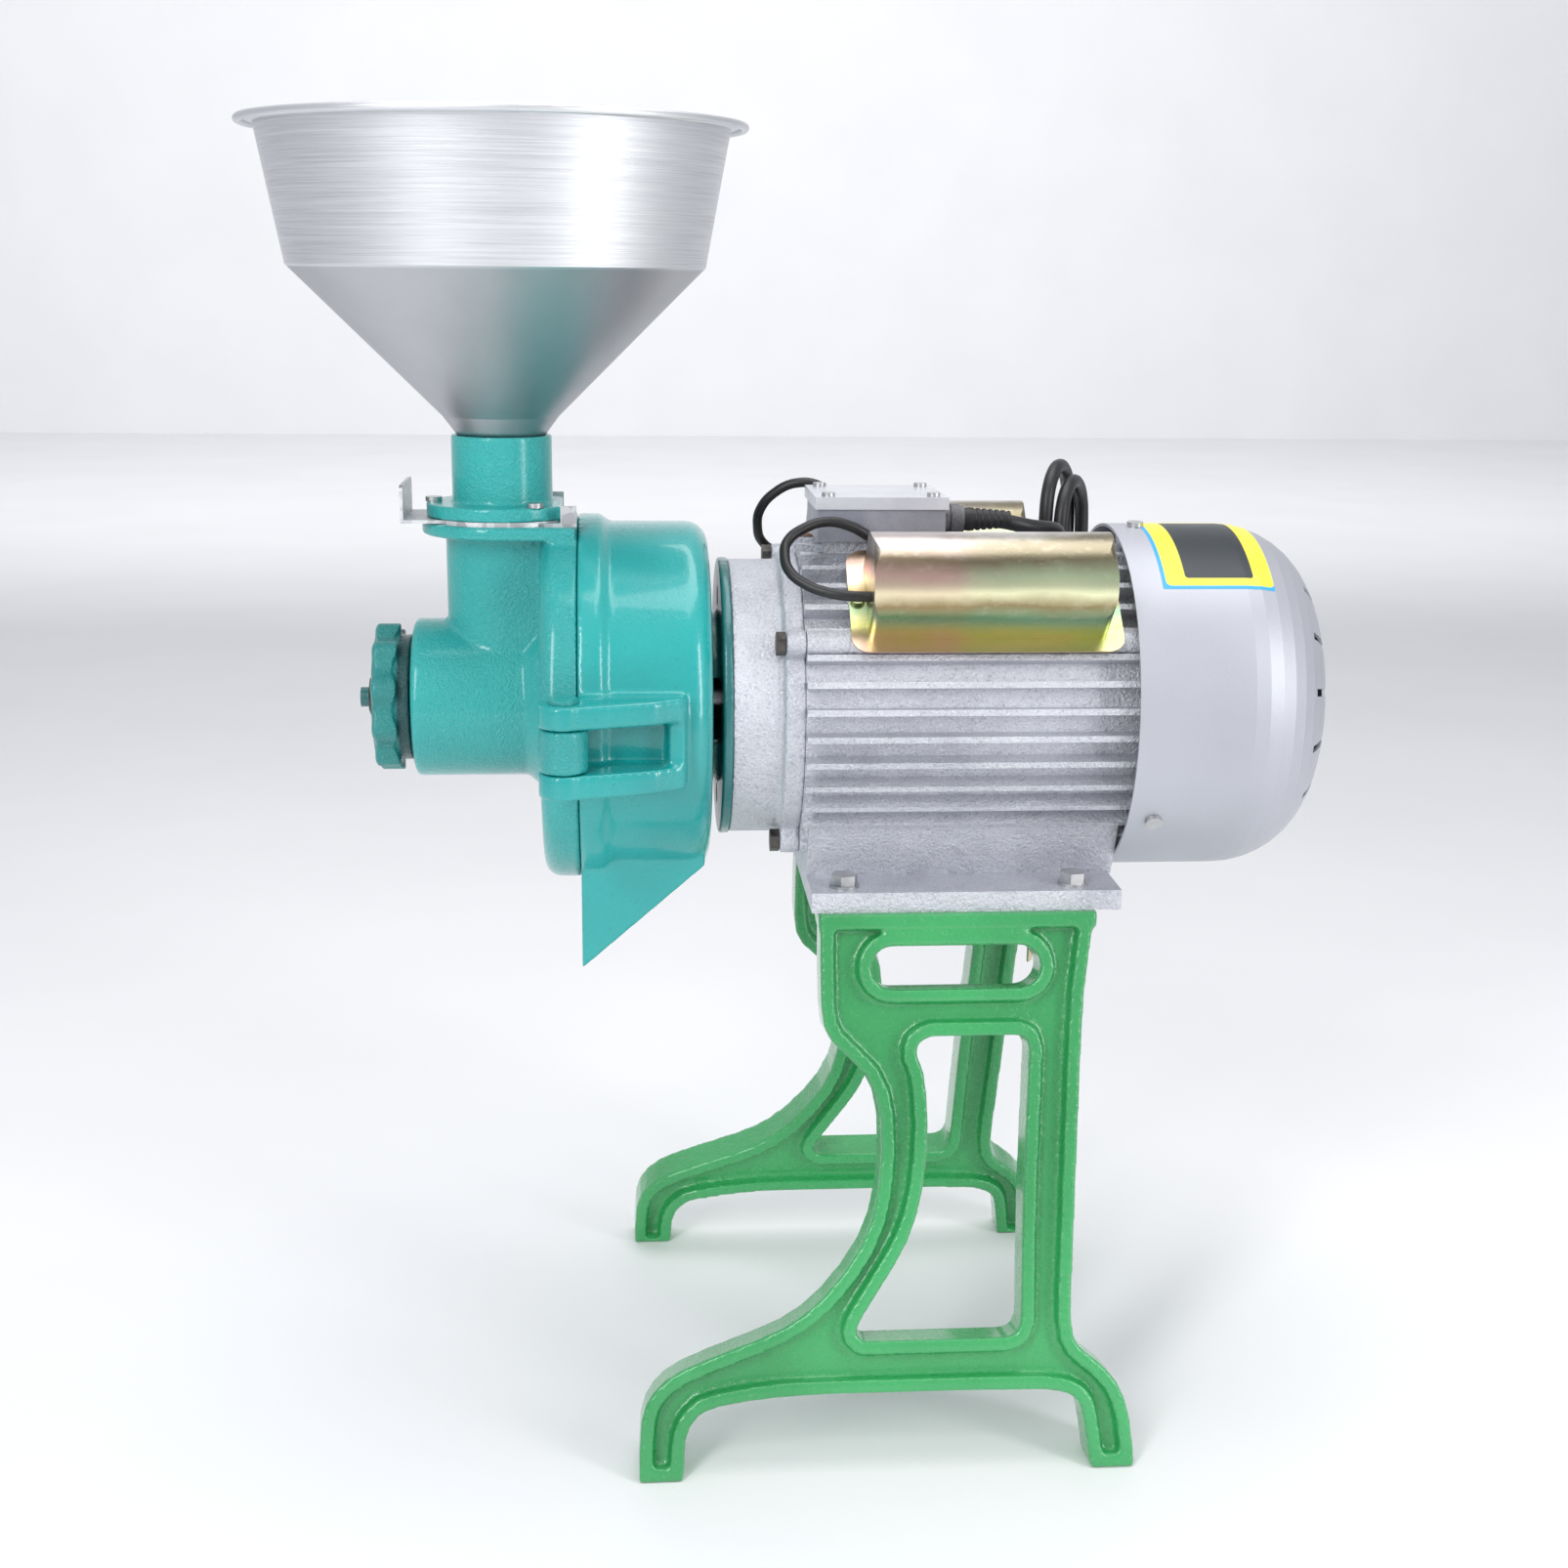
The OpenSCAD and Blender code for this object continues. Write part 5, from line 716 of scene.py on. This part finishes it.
# Grinding set: carrier, both toothed discs and the feed auger. Hard cast iron with
# a rough skin, ground bright only where the teeth meet.
iron, where = start_finish("hard_cast_iron", metal=0.85)
skin_grain = where.grain(420, detail=4, rough=0.65)
heat = where.grain(24, detail=3, rough=0.5)
tone = heat.between((0.16, 0.155, 0.15), (0.30, 0.295, 0.285))
tone = tone.tint(skin_grain.above(0.58, 0.74) * 0.5, (0.48, 0.47, 0.46))
give(lay_on(iron, tone, 0.36 + skin_grain * 0.25, skin_grain.dents(0.0006, strength=0.6)),
     "disc_carrier", "moving_disc", "fixed_disc", "feed_auger")
give(bright_zinc, "disc_screws", "fixed_disc_screws")


# Gate and its rails. Galvanised sheet, cut and folded, with the zinc's dull
# crystals and rubbed lines where the gate slides.
spangle, where = start_finish("galvanised_sheet", metal=0.9)
crystal = where.flecks(180)
slide = where.grain(5, detail=3, rough=0.6, stretch=(10, 160, 160))
tone = crystal.ramp((0.1, (0.50, 0.51, 0.52)), (0.6, (0.64, 0.65, 0.66)),
                    (0.95, (0.76, 0.77, 0.78)))
give(lay_on(spangle, tone, 0.34 + crystal * 0.14 + slide * 0.08, slide.dents(0.0002, strength=0.3)),
     "gate_rails", "slide_gate")


# Hopper. Spun from aluminium sheet over a former, so that fine rings run round it;
# the rim is rolled over, and the cone is left duller than the brushed band.
spun, where = start_finish("spun_aluminium", metal=1.0)
rings = where.grain(1, detail=4, rough=0.65, stretch=(14, 14, 1500))
broad = where.grain(1, detail=3, rough=0.6, stretch=(9, 9, 260))
crease_z, crease_soft = 0.6275, 0.0010
band = where.axis("Z").above(crease_z - crease_soft, crease_z + crease_soft)
stain = where.grain(9, detail=4, rough=0.6)
tone = rings.ramp((0.25, (0.60, 0.61, 0.63)), (0.50, (0.74, 0.75, 0.77)),
                  (0.75, (0.86, 0.87, 0.88)))
cone_tone = stain.between((0.43, 0.44, 0.46), (0.52, 0.53, 0.55))
tone = cone_tone.tint(band, tone)
rough = (0.30 + rings * 0.16 + broad * 0.10) * band + (0.36 + rings * 0.10) * (1 - band)
ring_height = rings * (0.3 + band * 0.7)
give(lay_on(spun, tone, rough, ring_height.dents(0.00022, strength=0.55)), "hopper")


# Clamp on the far side. A knobbed cast iron screw in the darker teal, with a plated
# steel washer, which pulls the cover against the drum.
give(dark_teal_and_painted_shade, "clamp_screw")
give(bright_zinc, "clamp_washer")


# Handwheel. Cast iron with ten lobes, in the darker teal, screwed on the thrust
# screw and locked by a thin nut.
wheel, where = start_finish("handwheel_enamel", coat=0.4, coat_rough=0.24)
sand_grain_and_painted_sparkle = where.grain(760, detail=2, rough=0.6)
pool = where.grain(18, detail=3, rough=0.5)
peel = where.grain(380, detail=3, rough=0.6)
shade_from, shade_to = -0.2163, -0.2147
tone = pool.between((0.006, 0.190, 0.185), (0.012, 0.290, 0.275))
# Light specks are painted sparkle on the handwheel's enamel; the same grain also gives the dents.
tone = tone.tint(sand_grain_and_painted_sparkle.above(0.60, 0.70) * 0.35, (0.14, 0.50, 0.47))
tone = tone.tint(where.axis("X").above(shade_from, shade_to), (0.006, 0.075, 0.078))
wheel_enamel = lay_on(wheel, tone, 0.26 + peel * 0.16,
                      sand_grain_and_painted_sparkle.dents(0.0014, strength=0.7, under=peel.dents(0.0012, strength=0.6)))
handwheel = recast("handwheel", wheel_enamel, voxel=0.0008, relax=3)
# The cast rim is thinner and lower between its lobes than on them.
rim_front, rim_back = -0.22905, -0.21505
lobes, lobe_from, lobe_rise = 10, 0.033, 0.006
dip_in, dip_back, dip_front = 0.0022, 0.0030, 0.0016
behind_rim = rim_back + 0.0004
for point in handwheel.data.vertices:
    x, y, z = point.co.x, point.co.y, point.co.z - shaft_z
    r, around = math.hypot(y, z), math.atan2(y, z)
    if x > behind_rim or r < lobe_from:
        continue
    outer = min((r - lobe_from) / lobe_rise, 1.0)
    hollow = soft_step(outer) * (0.5 - 0.5 * math.cos(lobes * around))
    away = 2 * (x - rim_front) / (rim_back - rim_front) - 1
    r -= dip_in * hollow
    point.co = (x - dip_back * hollow * max(away, 0) + dip_front * hollow * max(-away, 0),
                r * math.sin(around), shaft_z + r * math.cos(around))
give(dark_teal_and_painted_shade, "thrust_screw")
give(black_steel, "wheel_nut")


# Studio. A pale floor that runs up behind the machine, a tall soft light on each
# side in front, one overhead, one on the backdrop, and an even white surround.
floor_side, floor_z, backdrop_high = 14, -0.0004, 7
bpy.ops.object.select_all(action="DESELECT")
bpy.ops.mesh.primitive_plane_add(size=floor_side, location=(0, 0, floor_z))
floor = bpy.context.object
floor.name = "floor"
bpy.ops.object.mode_set(mode="EDIT")
bpy.ops.mesh.select_mode(type="EDGE")
bpy.ops.mesh.select_all(action="DESELECT")
bpy.ops.object.mode_set(mode="OBJECT")
for edge in floor.data.edges:
    edge.select = all(floor.data.vertices[v].co.y > 0 for v in edge.vertices)
bpy.ops.object.mode_set(mode="EDIT")
bpy.ops.mesh.extrude_region_move(TRANSFORM_OT_translate={"value": (0, 0, backdrop_high)})
bpy.ops.object.mode_set(mode="OBJECT")
pale, where = start_finish("pale_floor")
mottle = where.grain(3, detail=3, rough=0.5)
tone = mottle.between((0.84, 0.84, 0.85), (0.87, 0.87, 0.88))
floor.data.materials.append(lay_on(pale, tone, 0.6))

world = bpy.data.worlds.new("surround")
world.use_nodes = True
surround = world.node_tree.nodes["Background"]
surround.inputs["Color"].default_value = (0.93, 0.95, 1.0, 1.0)
surround.inputs["Strength"].default_value = 0.60
bpy.context.scene.world = world
bpy.context.scene.view_settings.view_transform = "Standard"


def soft_light(name, place, aim, size, power):
    """A square-cornered soft box that stands at place and faces aim."""
    lamp = bpy.data.lights.new(name, "AREA")
    lamp.shape = "RECTANGLE"
    lamp.size, lamp.size_y = size
    lamp.energy = power
    holder = bpy.data.objects.new(name, lamp)
    bpy.context.scene.collection.objects.link(holder)
    holder.location = place
    holder.rotation_euler = (Vector(aim) - Vector(place)).to_track_quat("-Z", "Y").to_euler()


middle, backdrop = (0, 0, 0.4), (0, floor_side / 2, 1.6)
soft_light("key_light", (-1.1, -1.7, 1.5), middle, size=(0.45, 1.6), power=26)
soft_light("fill_light", (1.6, -1.3, 1.0), middle, size=(0.45, 1.6), power=17)
soft_light("backdrop_light", (0, 3.2, 2.6), backdrop, size=(6.0, 1.5), power=100)
soft_light("top_light", (0.1, 0.1, 2.1), middle, size=(1.6, 1.4), power=20)

# The camera stands where the photograph was taken from.
photo_pixels, focal_pixels = 1605, 2131
swing, look_down, roll = -0.08063, 0.24225, 0.01125
cam = bpy.data.cameras.new("camera")
cam.sensor_width = 36
cam.lens = focal_pixels / photo_pixels * cam.sensor_width
cam.clip_start, cam.clip_end = 0.05, 50
camera = bpy.data.objects.new("camera", cam)
bpy.context.scene.collection.objects.link(camera)
turn = (Matrix.Rotation(swing, 3, "Z") @ Matrix.Rotation(math.pi / 2 - look_down, 3, "X")
        @ Matrix.Rotation(roll, 3, "Z"))
camera.location = (-0.09565, -1.14299, 0.62829)
camera.rotation_euler = turn.to_euler()
bpy.context.scene.camera = camera
